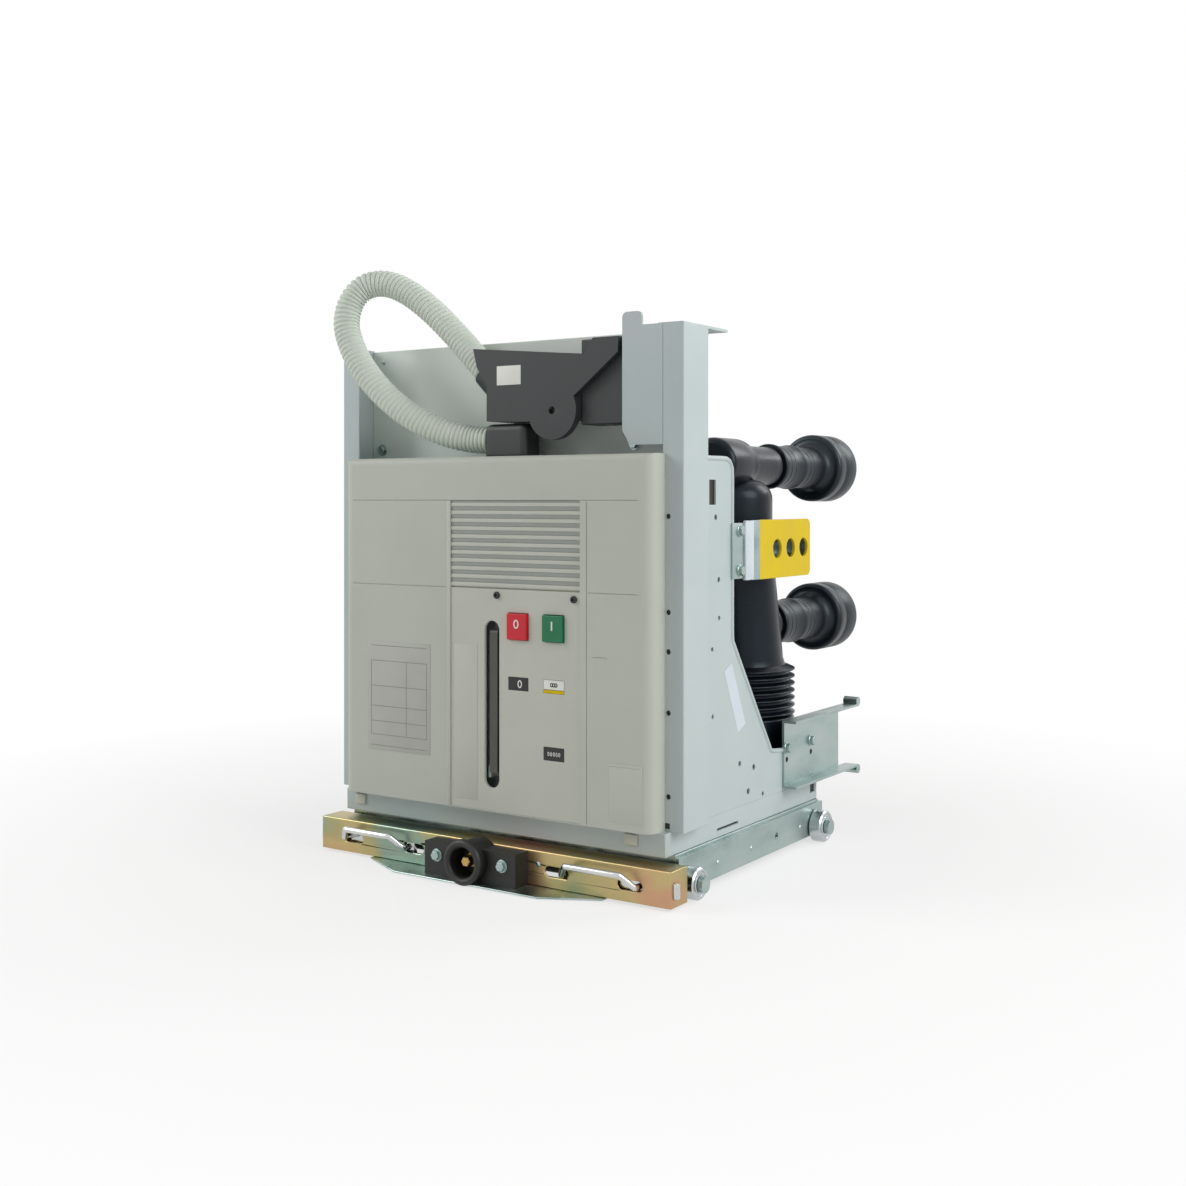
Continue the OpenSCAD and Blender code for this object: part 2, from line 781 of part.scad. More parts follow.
module front_cover() {
    inner_w = cover_w - 2 * cover_wall;
    color("DarkGray") difference() {
        intersection() {
            translate([0, 0, cover_z]) linear_extrude(cover_h)
                rounded_plan(cover_w, [0, cover_depth], cover_corner_r);
            side_profile([-cover_w / 2, cover_w / 2]) cover_side_outline();
        }
        translate([0, 0, cover_z + cover_wall]) linear_extrude(cover_h - 2 * cover_wall)
            rounded_plan(inner_w, [cover_wall, cover_depth + join], cover_corner_r - cover_wall);
        block([column_left, column_right], [-join, cover_wall + join], [panel_z, louvre_top_z]);
        block([column_left, column_right], [cover_wall, cover_depth + join],
              [cover_z + cover_wall, louvre_top_z]);
    }
}

module louvre() {
    pitch = louvre_h / louvre_blades;
    back_y = cover_wall - louvre_back;
    root_y = back_y + blade_lap;
    color("LightGray") side_profile([column_left, column_right]) {
        translate([back_y, panel_top_z]) square([louvre_back, louvre_h]);
        for (i = [0 : louvre_blades - 1]) translate([0, panel_top_z + i * pitch])
            polygon([
                [root_y, pitch], [panel_sink, pitch * blade_face_high],
                [panel_sink, pitch * blade_face_low], [root_y, 0]
            ]);
    }
}

module lever_slot() {
    r = slot_w / 2;
    x = [lever_x - r, lever_x + r];
    y = [-join, cover_wall + join];
    block(x, y, [slot_low_z + r, slot_low_z + slot_len - r]);
    for (z = [slot_low_z + r, slot_low_z + slot_len - r]) rod_y(lever_x, y, z, r);
}

module button_opening(x) {
    half_w = button_w / 2 + button_gap;
    half_h = button_h / 2 + button_gap;
    z = cover_z + button_z;
    block([x - half_w, x + half_w], [-join, cover_wall + join], [z - half_h, z + half_h]);
}

function windows() = [
    [open_button_x, cover_z + window_z],
    [close_button_x, cover_z + window_z],
    [close_button_x, cover_z + counter_z]
];

module window_plate(at, y) {
    block([at[0] - window_w / 2, at[0] + window_w / 2], y, [at[1] - window_h / 2, at[1] + window_h / 2]);
}

module control_panel() {
    color("Silver") difference() {
        block([column_left, column_right], [panel_sink, cover_wall], [panel_z, panel_top_z]);
        lever_slot();
        button_opening(open_button_x);
        button_opening(close_button_x);
        for (at = windows()) window_plate(at, [-join, panel_sink + window_seat]);
    }
}

module indicator_windows() {
    seat_y = panel_sink + window_seat;
    color("DarkSlateGray") for (at = windows()) window_plate(at, [seat_y - window_t, seat_y]);
}

module button(x) {
    z = cover_z + button_z;
    seat = cover_wall + button_seat_gap;
    half_w = button_w / 2;
    half_h = button_h / 2;
    block([x - half_w, x + half_w], [panel_sink - button_out, seat + join], [z - half_h, z + half_h]);
    block([x - half_w - button_flange, x + half_w + button_flange], [seat, seat + button_flange_t],
          [z - half_h - button_flange, z + half_h + button_flange]);
}

module open_button() {
    color("Crimson") button(open_button_x);
}

module close_button() {
    color("SeaGreen") button(close_button_x);
}

module charging_lever() {
    x = [lever_x - lever_w / 2, lever_x + lever_w / 2];
    boss_r = lever_pin_r + lever_boss_wall;
    arm_y = pivot_y - lever_lead - lever_t;
    color("DimGray") difference() {
        union() {
            block(x, [arm_y, arm_y + lever_t], [pivot_z, lever_top_z - lever_t / 2]);
            rod_x(x, arm_y + lever_t / 2, lever_top_z - lever_t / 2, lever_t / 2);
            rod_x(x, pivot_y, pivot_z, boss_r);
        }
        rod_x([x[0] - join, x[1] + join], pivot_y, pivot_z, lever_pin_r + axle_fit);
    }
}

// Plug frame above the housing

module upright(side) {
    on_side(side) color("Silver") {
        block([upright_half - upright_face, upright_half], [upright_y, upright_y + sheet],
              [upright_foot_z, upright_top_z]);
        block([upright_half - sheet, upright_half], [upright_y, upright_y + upright_depth],
              [upright_foot_z, upright_top_z]);
    }
}

module back_sheet() {
    half = upright_half - sheet;
    rear = upright_y + upright_depth;
    color("LightGray") block([-half, half], [rear - sheet, rear], [wall_top_z, upright_top_z - top_step]);
}

module plug_bracket() {
    low = housing_top_z + bracket_lift;
    tab_right = bracket_left + bracket_tab_w;
    color("LightGray") {
        front_profile([upright_y, upright_y + sheet]) {
            polygon([
                [bracket_left, low + bracket_cut], [bracket_left + bracket_cut * bracket_cut_run, low],
                [face_edge, low], [face_edge, upright_top_z], [bracket_left, upright_top_z]
            ]);
            translate([bracket_left, upright_top_z - join])
                square([bracket_tab_w, bracket_tab_h + join - bracket_tab_r]);
            translate([bracket_left + bracket_tab_r, upright_top_z])
                square([bracket_tab_w - 2 * bracket_tab_r, bracket_tab_h]);
            for (x = [bracket_left + bracket_tab_r, tab_right - bracket_tab_r])
                translate([x, upright_top_z + bracket_tab_h - bracket_tab_r]) circle(bracket_tab_r);
        }
        block([bracket_left, bracket_left + sheet], [upright_y + sheet - join, plug_front_y + plug_plate],
              [low + bracket_cut, upright_top_z]);
        block([face_edge - rail_w + upright_face - sheet, face_edge + upright_face - sheet],
              [upright_y + sheet, upright_y + sheet + rail_len],
              [upright_top_z - top_step, upright_top_z + sheet - top_step]);
    }
}

module plug_hood() {
    base = housing_top_z;
    rear = plug_front_y + plug_plate;
    along = [1, 0, -1] / sqrt(2);
    color("DarkSlateGray") {
        front_profile([plug_front_y, rear]) translate([0, base]) {
            polygon(plug_outline);
            translate(lobe_at) circle(lobe_r);
        }
        block([plug_left, plug_split], [rear - join, plug_rear_y],
              [base + plug_low + plug_heel, base + plug_body_high]);
        rod_between(plug_exit, plug_exit + along * plug_collar_len, conduit_d / 2 + collar_rim);
    }
}

module plug_socket() {
    color("DimGray") block([plug_split, plug_end], [plug_front_y + plug_plate, plug_rear_y],
                           [housing_top_z + plug_low - plug_skirt, housing_top_z + plug_high]);
}

module conduit_fitting() {
    x = fitting_entry.x;
    y = fitting_entry.y;
    color("DarkSlateGray") block([x, x + fitting_w], [y - fitting_depth / 2, y + fitting_depth / 2],
                                 [housing_top_z, housing_top_z + fitting_h]);
}

// Direction of the conduit at one of its points
function conduit_heading(i) =
    i == 0 ? [-1, 0, 1] / sqrt(2)
    : i == len(conduit_route) - 1 ? [1, 0, 0]
    : let (v = conduit_route[i + 1] - conduit_route[i - 1]) v / norm(v);

function conduit_ring(i) =
    let (along = conduit_heading(i), side = cross(along, [0, 1, 0]))
    let (u = side / norm(side), v = cross(u, along))
    [for (k = [0 : conduit_sides - 1]) let (a = 360 * k / conduit_sides)
        conduit_route[i] + conduit_d / 2 * (cos(a) * u + sin(a) * v)];

module conduit() {
    n = conduit_sides;
    last = len(conduit_route) - 1;
    points = [for (i = [0 : last]) each conduit_ring(i)];
    skin = [for (i = [0 : last - 1], k = [0 : n - 1])
        let (a = i * n + k, b = i * n + (k + 1) % n) each [[a, b, b + n], [a, b + n, a + n]]];
    near_end = [for (k = [0 : n - 1]) n - 1 - k];
    far_end = [for (k = [0 : n - 1]) last * n + k];
    color("WhiteSmoke") polyhedron(points, concat([near_end], skin, [far_end]));
}

// Poles with their contact arms

module pole(x) {
    color([0.12, 0.12, 0.13]) {
        translate([x, foot_y, base_top_z]) rotate_extrude() pole_foot_outline();
        hull() {
            translate([x, foot_y, shed_top_z - join]) cylinder(h = join, r = neck_r, $fn = 32);
            translate([x, pole_y, lean_top_z]) cylinder(h = join, r = pole_r, $fn = 32);
        }
        translate([x, pole_y, lean_top_z]) rotate_extrude() pole_shoulder_outline();
        rod_y(x, [pole_y - head_front, pole_y + head_rear], upper_contact_z, head_r);
        for (z = [upper_contact_z, lower_contact_z]) rod_y(x, [pole_y, seat_y], z, arm_r);
    }
}

module pole_shoulder_outline() {
    height = upper_contact_z - shoulder_drop - lean_top_z;
    square([pole_r, height - shoulder_r]);
    square([pole_r - shoulder_r, height]);
    translate([pole_r - shoulder_r, height - shoulder_r]) intersection() {
        circle(shoulder_r);
        square(shoulder_r);
    }
}

module pole_foot_outline() {
    square([shed_r - foot_step, shed_start]);
    for (i = [0 : shed_count - 1]) translate([0, shed_start + i * shed_pitch])
        polygon([
            [0, 0], [shed_root_r, 0], [shed_r, shed_lip_low], [shed_r, shed_lip_high],
            [shed_root_r, shed_pitch], [0, shed_pitch]
        ]);
}

module contact_arms(x) {
    color([0.16, 0.17, 0.2]) for (z = [upper_contact_z, lower_contact_z]) difference() {
        union() {
            rod_y(x, [seat_y, sleeve_y + join], z, arm_r);
            rod_y(x, [sleeve_y, shroud_y + join], z, sleeve_r);
            for (i = [0 : collar_count - 1]) translate([0, i * collar_pitch, 0])
                rod_y(x, [sleeve_y, sleeve_y + collar_w], z, collar_r);
            rod_y(x, [shroud_y, contact_end_y], z, shroud_r);
        }
        rod_y(x, [shroud_y + shroud_floor, contact_end_y + join], z, shroud_r - shroud_wall);
    }
}

module tulips(x) {
    y = [shroud_y + shroud_floor, contact_end_y - tulip_inset];
    color("Gainsboro") for (z = [upper_contact_z, lower_contact_z]) difference() {
        rod_y(x, y, z, tulip_r);
        rod_y(x, [y[0] - join, y[1] + join], z, tulip_bore_r);
    }
}

// Lifting plates and shutter rails

module lifting_plate(side) {
    on_side(side) color("Gold") difference() {
        side_profile([body_half, body_half + lift_t]) lifting_plate_outline();
        for (i = [0 : lift_hole_count - 1]) rod_x([body_half - join, body_half + lift_t + join],
                                lift_hole_y + i * lift_hole_pitch, lift_z + lift_h / 2, lift_hole_r);
    }
}

module lifting_plate_outline() {
    length = lift_rear_y - lift_front_y;
    r = lift_corner_r;
    translate([lift_front_y, lift_z]) square([length - r, lift_h]);
    translate([lift_front_y, lift_z + r]) square([length, lift_h - 2 * r]);
    for (z = [r, lift_h - r]) translate([lift_rear_y - r, lift_z + z]) circle(r);
}

module shutter_rail(side) {
    top = shutter_z + shutter_h;
    tail = shutter_rear_y + shutter_tail;
    x = [body_half, body_half + shutter_flange];
    on_side(side) color("LightSteelBlue") {
        block([body_half, body_half + sheet], [shutter_front_y, shutter_rear_y], [shutter_z, top]);
        block(x, [shutter_front_y, tail], [top - sheet, top]);
        block(x, [shutter_front_y, tail], [shutter_z, shutter_z + sheet]);
        rod_x(x, tail, top - sheet + shutter_roll_r, shutter_roll_r);
        rod_x(x, tail, shutter_z + sheet - shutter_roll_r, shutter_roll_r);
    }
}

seated() truck_side(left);  // truck_side_left
seated() truck_side(right);  // truck_side_right
seated() truck_deck();
seated() screw_nut();
seated() wheel(left, front_axle_y, front_wheel_r);  // front_wheel_left
seated() wheel(right, front_axle_y, front_wheel_r);  // front_wheel_right
seated() wheel(left, rear_axle_y, rear_wheel_r);  // rear_wheel_left
seated() wheel(right, rear_axle_y, rear_wheel_r);  // rear_wheel_right
seated() crosspiece();
seated() guide_arms();
seated() drive_block();
seated() drive_shelf();
seated() racking_screw();
seated() latch(left);  // latch_left
seated() latch(right);  // latch_right
seated() base_frame();
seated() mechanism_housing();
seated() side_wall(left);  // side_wall_left
seated() side_wall(right);  // side_wall_right
seated() front_cover();
seated() louvre();
seated() control_panel();
seated() indicator_windows();
seated() open_button();
seated() close_button();
seated() charging_lever();
seated() upright(left);  // upright_left
seated() upright(right);  // upright_right
seated() back_sheet();
seated() plug_bracket();
seated() plug_hood();
seated() plug_socket();
seated() conduit_fitting();
seated() conduit();
seated() pole(-pole_pitch);  // pole_left
seated() pole(0);  // pole_centre
seated() pole(pole_pitch);  // pole_right
seated() contact_arms(-pole_pitch);  // contact_arms_left
seated() contact_arms(0);  // contact_arms_centre
seated() contact_arms(pole_pitch);  // contact_arms_right
seated() tulips(-pole_pitch);  // tulips_left
seated() tulips(0);  // tulips_centre
seated() tulips(pole_pitch);  // tulips_right
seated() lifting_plate(left);  // lifting_plate_left
seated() lifting_plate(right);  // lifting_plate_right
seated() shutter_rail(left);  // shutter_rail_left
seated() shutter_rail(right);  // shutter_rail_right
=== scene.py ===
# %% [markdown]
# A withdrawable circuit breaker on its truck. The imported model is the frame: it gives every piece its
# real size and place. This lesson dresses that frame: folded steel gets soft edges and holes, turned
# pieces are spun from a profile, and what repeats is made by Geometry Nodes.

# %% Frame
import json
import math

import bmesh
import bpy
from mathutils import Matrix, Vector

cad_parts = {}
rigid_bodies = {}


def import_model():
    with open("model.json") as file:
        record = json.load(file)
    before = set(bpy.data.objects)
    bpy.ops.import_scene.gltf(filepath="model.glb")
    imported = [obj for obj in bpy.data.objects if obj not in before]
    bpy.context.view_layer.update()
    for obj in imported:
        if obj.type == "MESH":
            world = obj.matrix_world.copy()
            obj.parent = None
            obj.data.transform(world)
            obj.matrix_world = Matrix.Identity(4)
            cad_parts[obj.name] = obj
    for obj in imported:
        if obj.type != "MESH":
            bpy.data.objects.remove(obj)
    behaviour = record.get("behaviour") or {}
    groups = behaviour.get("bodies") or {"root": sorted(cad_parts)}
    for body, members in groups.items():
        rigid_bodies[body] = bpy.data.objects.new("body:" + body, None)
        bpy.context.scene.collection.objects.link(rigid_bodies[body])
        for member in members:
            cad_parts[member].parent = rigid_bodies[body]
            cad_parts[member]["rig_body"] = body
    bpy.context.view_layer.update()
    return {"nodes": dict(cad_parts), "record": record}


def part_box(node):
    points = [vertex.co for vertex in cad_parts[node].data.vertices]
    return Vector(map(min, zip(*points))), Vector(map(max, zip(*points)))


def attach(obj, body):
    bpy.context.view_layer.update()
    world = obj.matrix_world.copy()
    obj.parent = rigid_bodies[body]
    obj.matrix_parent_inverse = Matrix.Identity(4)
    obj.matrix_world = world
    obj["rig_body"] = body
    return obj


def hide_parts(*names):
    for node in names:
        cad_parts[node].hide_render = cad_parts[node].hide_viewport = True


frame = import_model()
cover_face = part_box("front_cover")[0].y


def at(x, y, z):
    """A point in millimetres: x from the middle, y behind the cover's face, z above the floor."""
    return Vector((x / 1000, cover_face + y / 1000, z / 1000))


print("nodes in the frame:", len(frame["nodes"]))

# %% [markdown]
# The camera stands a little to the right of the machine and low, as a person with a long lens would.
# It is held level, so that upright edges stay upright, and the lens is shifted to frame the machine
# instead of being tilted.

# %% Camera


def linked(name, data):
    """An object with that data, shown in the scene."""
    obj = bpy.data.objects.new(name, data)
    bpy.context.scene.collection.objects.link(obj)
    return obj


camera_data = bpy.data.cameras.new("camera")
camera_data.sensor_width = 36.0
camera_data.lens = 44.26
camera_data.shift_y = -0.0792
camera = linked("camera", camera_data)
camera.location = (1.01476, -1.58005, 0.42836)
camera.rotation_euler = (math.radians(90.0), 0.0, math.radians(33.62))
bpy.context.scene.camera = camera
print("camera at", tuple(camera.location))

# %% [markdown]
# Every finish starts from a real material. Colours are written as the hex values that a paint card
# would give, and one function turns them to the linear values that the shader works in. Patterns are
# given in millimetres and read Object coordinates, so that they keep their real scale on each piece.

# %% Helpers for finishes


def linear(hex_colour):
    """Linear RGBA from an sRGB hex value."""
    channels = [int(hex_colour[i:i + 2], 16) / 255 for i in (1, 3, 5)]
    return [c / 12.92 if c <= 0.04045 else ((c + 0.055) / 1.055) ** 2.4 for c in channels] + [1.0]


def add(tree, kind, inputs=None, stops=None, **settings):
    """Adds a node, sets its properties and its colour stops, and links or fills its inputs."""
    node = tree.nodes.new(kind)
    for name, value in settings.items():
        setattr(node, name, value)
    for socket, value in (inputs or {}).items():
        if isinstance(value, bpy.types.NodeSocket):
            tree.links.new(value, node.inputs[socket])
        else:
            node.inputs[socket].default_value = value
    for i, (position, colour) in enumerate(stops or []):
        ramp = node.color_ramp.elements
        stop = ramp[i] if i < 2 else ramp.new(position)
        stop.position = position
        stop.color = linear(colour)
    return node


def per_metre(millimetres):
    """How often a pattern of that size repeats in a metre."""
    return 1000.0 / millimetres


def finish(name, colours, patch, rough, grain, lift, stretch=(1, 1, 1), spread=0.4, **shader_inputs):
    """A material whose colour drifts over patches, more with a small spread, and that has a grain, in mm."""
    material = bpy.data.materials.new(name)
    material.use_nodes = True
    tree = material.node_tree
    shader = tree.nodes["Principled BSDF"]
    for socket, value in shader_inputs.items():
        shader.inputs[socket.replace("_", " ").title().replace("Ior", "IOR")].default_value = value
    place = add(tree, "ShaderNodeTexCoord").outputs["Object"]
    turned = add(tree, "ShaderNodeMapping", {"Vector": place, "Scale": stretch}).outputs["Vector"]
    drift = add(tree, "ShaderNodeTexNoise", {"Vector": turned, "Scale": per_metre(patch), "Detail": 4.0})
    step = spread / (len(colours) - 1)
    stops = [(0.5 - spread / 2 + i * step, colour) for i, colour in enumerate(colours)]
    tint = add(tree, "ShaderNodeValToRGB", {"Fac": drift.outputs["Fac"]}, stops)
    dull = add(tree, "ShaderNodeMapRange", {"Value": drift.outputs["Fac"], "From Min": 0.3, "From Max": 0.7,
                                            "To Min": rough[0], "To Max": rough[1]})
    fine = add(tree, "ShaderNodeTexNoise", {"Vector": turned, "Scale": per_metre(grain), "Detail": 2.0})
    relief = add(tree, "ShaderNodeBump", {"Height": fine.outputs["Fac"], "Distance": lift / 1000,
                                          "Strength": 0.6})
    tree.links.new(tint.outputs["Color"], shader.inputs["Base Color"])
    tree.links.new(dull.outputs["Result"], shader.inputs["Roughness"])
    tree.links.new(relief.outputs["Normal"], shader.inputs["Normal"])
    return material


# %% [markdown]
# The steel sheets are powder coated: the coat melts to a skin with a fine orange peel, about 2 mm from
# one hump to the next, which breaks up the reflections a little. The front cover has a warmer, flatter
# grey than the frame. The truck is zinc plated: clear passivation looks bluish, yellow passivation
# drifts from gold to pink and green like oil on water. Plastics and cast resin have a finer grain. An
# image could give all this too, but noise needs no unwrapping and never repeats.

# %% Finishes
# Powder coat and moulded panel: satin, a soft sheen on round edges and almost no drift.
cover_coat = finish("warm_grey_powder_coat_sprayed", ["#bdc1b7", "#c3c7bd"], 120, (0.5, 0.58), 2, 0.02)
panel_coat = finish("pale_grey_moulded_panel", ["#c2c4b9", "#c8cabf"], 90, (0.48, 0.56), 1.5, 0.015)
frame_coat = finish("pale_grey_powder_coat_sprayed", ["#b7c4c4", "#bfcaca"], 140, (0.4, 0.48), 2, 0.02)
sheet_coat = finish("grey_green_powder_coat_sprayed", ["#e4ece5", "#e9f0ea"], 110, (0.45, 0.52), 2, 0.02)
# Zinc plate: metal with small clouds, drawn out along the rolled sheet.
zinc = finish("steel_bright_zinc_plated", ["#92a5a1", "#a5b5b2", "#b2bcba"], 26, (0.24, 0.4), 3, 0.01,
              (1, 0.35, 1), metallic=1.0)
# Turned zinc: brighter, with fine streaks across the rim.
roller = finish("steel_turned_zinc_plated", ["#b3b9bb", "#c9cdce"], 8, (0.18, 0.3), 1.2, 0.006,
                (0.1, 1, 1), metallic=1.0)
# Yellow passivation: wide drifts of green, gold and pink.
gold_zinc = finish("steel_yellow_passivated_zinc", ["#8d9f8f", "#a8a174", "#bda978", "#c5967a"], 130,
                   (0.28, 0.42), 3, 0.01, (0.7, 1, 1), 0.22, metallic=1.0)
# Drawn rod: nearly a mirror, with faint streaks.
bright_rod = finish("steel_rod_drawn_bright_plated", ["#c4c6c6", "#d6d7d5"], 12, (0.12, 0.22), 1, 0.004,
                    (0.2, 1, 1), metallic=1.0)
# Machined brass and silver plate: a warm, softer shine.
brass = finish("brass_machined", ["#b7965a", "#c9aa6c"], 10, (0.25, 0.38), 0.8, 0.006, (1, 0.2, 1),
               metallic=1.0)
silver = finish("copper_silver_plated", ["#c0bcb2", "#d2cfc6"], 9, (0.25, 0.4), 1, 0.006, metallic=1.0)
# Moulded plastics: a dull sheen. The grain is drawn coarser than the real one, to show.
dark_plastic = finish("polyamide_moulded_dark_grey", ["#494a43", "#51524b"], 30, (0.5, 0.6), 0.8, 0.015)
black_plastic = finish("polyamide_moulded_black", ["#151413", "#1e1d1b"], 30, (0.42, 0.54), 0.8, 0.015)
plug_plastic = finish("polyamide_moulded_slate", ["#282c2d", "#2f3334"], 45, (0.45, 0.58), 0.9, 0.02)
red_plastic = finish("abs_moulded_red", ["#cc1226", "#d31b2e"], 20, (0.3, 0.4), 0.8, 0.008)
green_plastic = finish("abs_moulded_green", ["#006a40", "#047448"], 20, (0.3, 0.4), 0.8, 0.008)
# Prints, enamel and films: even colour with little sheen.
white_print = finish("screen_print_white", ["#e9e9e3", "#f0f0eb"], 20, (0.5, 0.6), 0.6, 0.004)
grey_print = finish("screen_print_grey", ["#8b8c84", "#93948c"], 20, (0.5, 0.6), 0.6, 0.004)
yellow_film = finish("enamel_yellow_sprayed", ["#d8ba00", "#dec106"], 40, (0.34, 0.44), 1.5, 0.012,
                     specular_ior_level=0.2)
label_film = finish("polyester_label_film_pale", ["#b4b6ae", "#babcb4"], 40, (0.36, 0.42), 0.8, 0.004)
# Extruded polypropylene: milky and soft.
conduit_plastic = finish("polypropylene_conduit_corrugated", ["#d2dbcf", "#dae1d7"], 60, (0.45, 0.55), 1.2,
                         0.01)
# Cast resin and silicone: almost black, with a bluish specular tint. The resin's bluish base colour is
# painted reflection, a bluish sheen put into its colour.
epoxy = finish("epoxy_resin_cast_black", ["#0a0f16", "#10161e"], 50, (0.24, 0.34), 1.6, 0.015,
               specular_ior_level=0.25, specular_tint=(0.75, 0.9, 1.0, 1.0))
sleeve = finish("silicone_sleeve_moulded_black", ["#0e1218", "#161b22"], 40, (0.3, 0.42), 1.2, 0.012,
                specular_ior_level=0.4, specular_tint=(0.75, 0.92, 1.0, 1.0))
# The panel's grey made darker as painted shade for the louvre's recesses, and the white film on the walls,
# whose white also paints a highlight on the plates' folds.
louvre_shade = finish("pale_grey_painted_louvre_shade", ["#979b95", "#9da19b"], 90, (0.5, 0.58), 1.5, 0.015)
white_film_and_highlight = finish("polyester_label_film_white_and_painted_highlight", ["#cdd8e0", "#d7dfe6"], 40, (0.36, 0.42), 0.8, 0.004)
print("finishes:", len(bpy.data.materials))

# %% [markdown]
# Each finished piece is a plain mesh at the origin that rides on the body of the node it stands for.
# A few helpers keep that the same for all: one closes a mesh and hands it over, one draws a box, and
# one spins a profile about an axis, the way a lathe makes a turned piece. Modelling by hand would do as
# well, but measured points keep every piece true to the frame.

# %% Helpers for pieces
body_of = {name: node["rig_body"] for name, node in frame["nodes"].items()}
slot_of = {row["node"]: row["material_slot"] for row in frame["record"]["subparts"]}
ALONG_Y = Matrix.Rotation(math.radians(-90), 4, "X")
ALONG_X = Matrix.Rotation(math.radians(90), 4, "Y")
SHARP_FROM = 35
made = []


def hand_over(obj, body, slot, *nodes):
    """Rides a finished piece on its body and hides the nodes that it stands for; the slot is not used."""
    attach(obj, body)
    if nodes:
        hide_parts(*nodes)
    made.append(obj.name)
    return obj


def mesh_object(name, mesh, *materials, smooth=SHARP_FROM):
    """A linked object with its materials, smooth except at edges sharper than that angle."""
    for material in materials:
        mesh.materials.append(material)
    mesh.shade_smooth()
    mesh.set_sharp_from_angle(angle=math.radians(smooth))
    return linked(name, mesh)


def closed(name, shape, *materials, smooth=SHARP_FROM):
    """An object from a shape whose faces are turned outwards."""
    bmesh.ops.remove_doubles(shape, verts=shape.verts, dist=1e-6)
    bmesh.ops.recalc_face_normals(shape, faces=shape.faces)
    mesh = bpy.data.meshes.new(name)
    shape.to_mesh(mesh)
    shape.free()
    return mesh_object(name, mesh, *materials, smooth=smooth)


def piece(name, shape, material, body, slot, *nodes):
    """Closes a shape and hands it over in one step."""
    return hand_over(closed(name, shape, material), body, slot, *nodes)


def box(shape, x, y, z):
    """Adds a box between two places on each axis, in millimetres."""
    low = at(x[0], y[0], z[0])
    high = at(x[1], y[1], z[1])
    place = Matrix.Translation((low + high) / 2) @ Matrix.Diagonal((high - low).to_4d())
    return bmesh.ops.create_cube(shape, size=1.0, matrix=place)["verts"]


def turn(shape, profile, centre, axis=Matrix.Identity(4), segments=48):
    """Spins (radius, distance) points in mm about an axis; a third number moves a point's ring off it."""
    place = Matrix.Translation(centre) @ axis
    rings = []
    for radius, along, *shift in profile:
        angles = [math.tau * k / segments for k in range(segments)] if radius > 0 else [0.0]
        off = sum(shift)
        spots = [Vector((radius * math.cos(a), radius * math.sin(a) + off, along)) / 1000 for a in angles]
        rings.append([shape.verts.new(place @ spot) for spot in spots])
    for a, b in zip(rings, rings[1:]):
        for k in range(segments):
            corners = [a[k % len(a)], a[(k + 1) % len(a)], b[(k + 1) % len(b)], b[k % len(b)]]
            shape.faces.new(list(dict.fromkeys(corners)))


# %% [markdown]
# Folded sheet steel has no knife edges: the fold leaves a small radius, and paint rounds it more. The
# nodes have the right size but sharp edges, so a copy of each gets its edges bevelled and then its holes
# cut. A bevel is what makes an edge catch a thin line of light, and a modifier does it to all edges alike.

# %% Softened sheet and blocks


def applied(obj):
    """The shape of an object after its modifiers, as a plain mesh."""
    return bpy.data.meshes.new_from_object(obj.evaluated_get(bpy.context.evaluated_depsgraph_get()))


def outward(s, inner, outer):
    """Two places on X on one side of the machine, the lower first; s is -1 on the left, 1 on the right."""
    return sorted((s * inner, s * outer))


def softened(node, material, radius, boxes=(), rods=()):
    """A copy of a node with edges rounded and then holes cut, which stands for it."""
    shape = bmesh.new()
    shape.from_mesh(frame["nodes"][node].data)
    bmesh.ops.remove_doubles(shape, verts=shape.verts, dist=1e-5)
    bmesh.ops.dissolve_limit(shape, angle_limit=math.radians(0.5), verts=shape.verts, edges=shape.edges)
    bmesh.ops.triangulate(shape, faces=[face for face in shape.faces if len(face.verts) > 4])
    mesh = bpy.data.meshes.new("blank_" + node)
    shape.to_mesh(mesh)
    shape.free()
    blank = linked("blank_" + node, mesh)
    bevel = blank.modifiers.new("edges", "BEVEL")
    bevel.width = radius / 1000
    bevel.segments = max(2, round(radius))
    bevel.limit_method = "ANGLE"
    bevel.angle_limit = math.radians(40)
    tool = bmesh.new()
    for x, y, z in boxes:
        box(tool, x, y, z)
    for axis, centre, r, length in rods:
        ends = (-length / 2, length / 2)
        turn(tool, [(0, ends[0]), (r, ends[0]), (r, ends[1]), (0, ends[1])], at(*centre), axis, 24)
    cutter = closed("cutter", tool)
    if boxes or rods:
        cut = blank.modifiers.new("holes", "BOOLEAN")
        cut.operation = "DIFFERENCE"
        cut.solver = "EXACT"
        cut.object = cutter
    result = applied(blank)
    bpy.data.objects.remove(blank)
    bpy.data.objects.remove(cutter)
    result.materials.clear()
    obj = mesh_object(node + "_finished", result, material)
    even = obj.modifiers.new("even", "WEIGHTED_NORMAL")
    even.keep_sharp = True
    obj.data = applied(obj)
    obj.modifiers.clear()
    return hand_over(obj, body_of[node], slot_of[node], node)


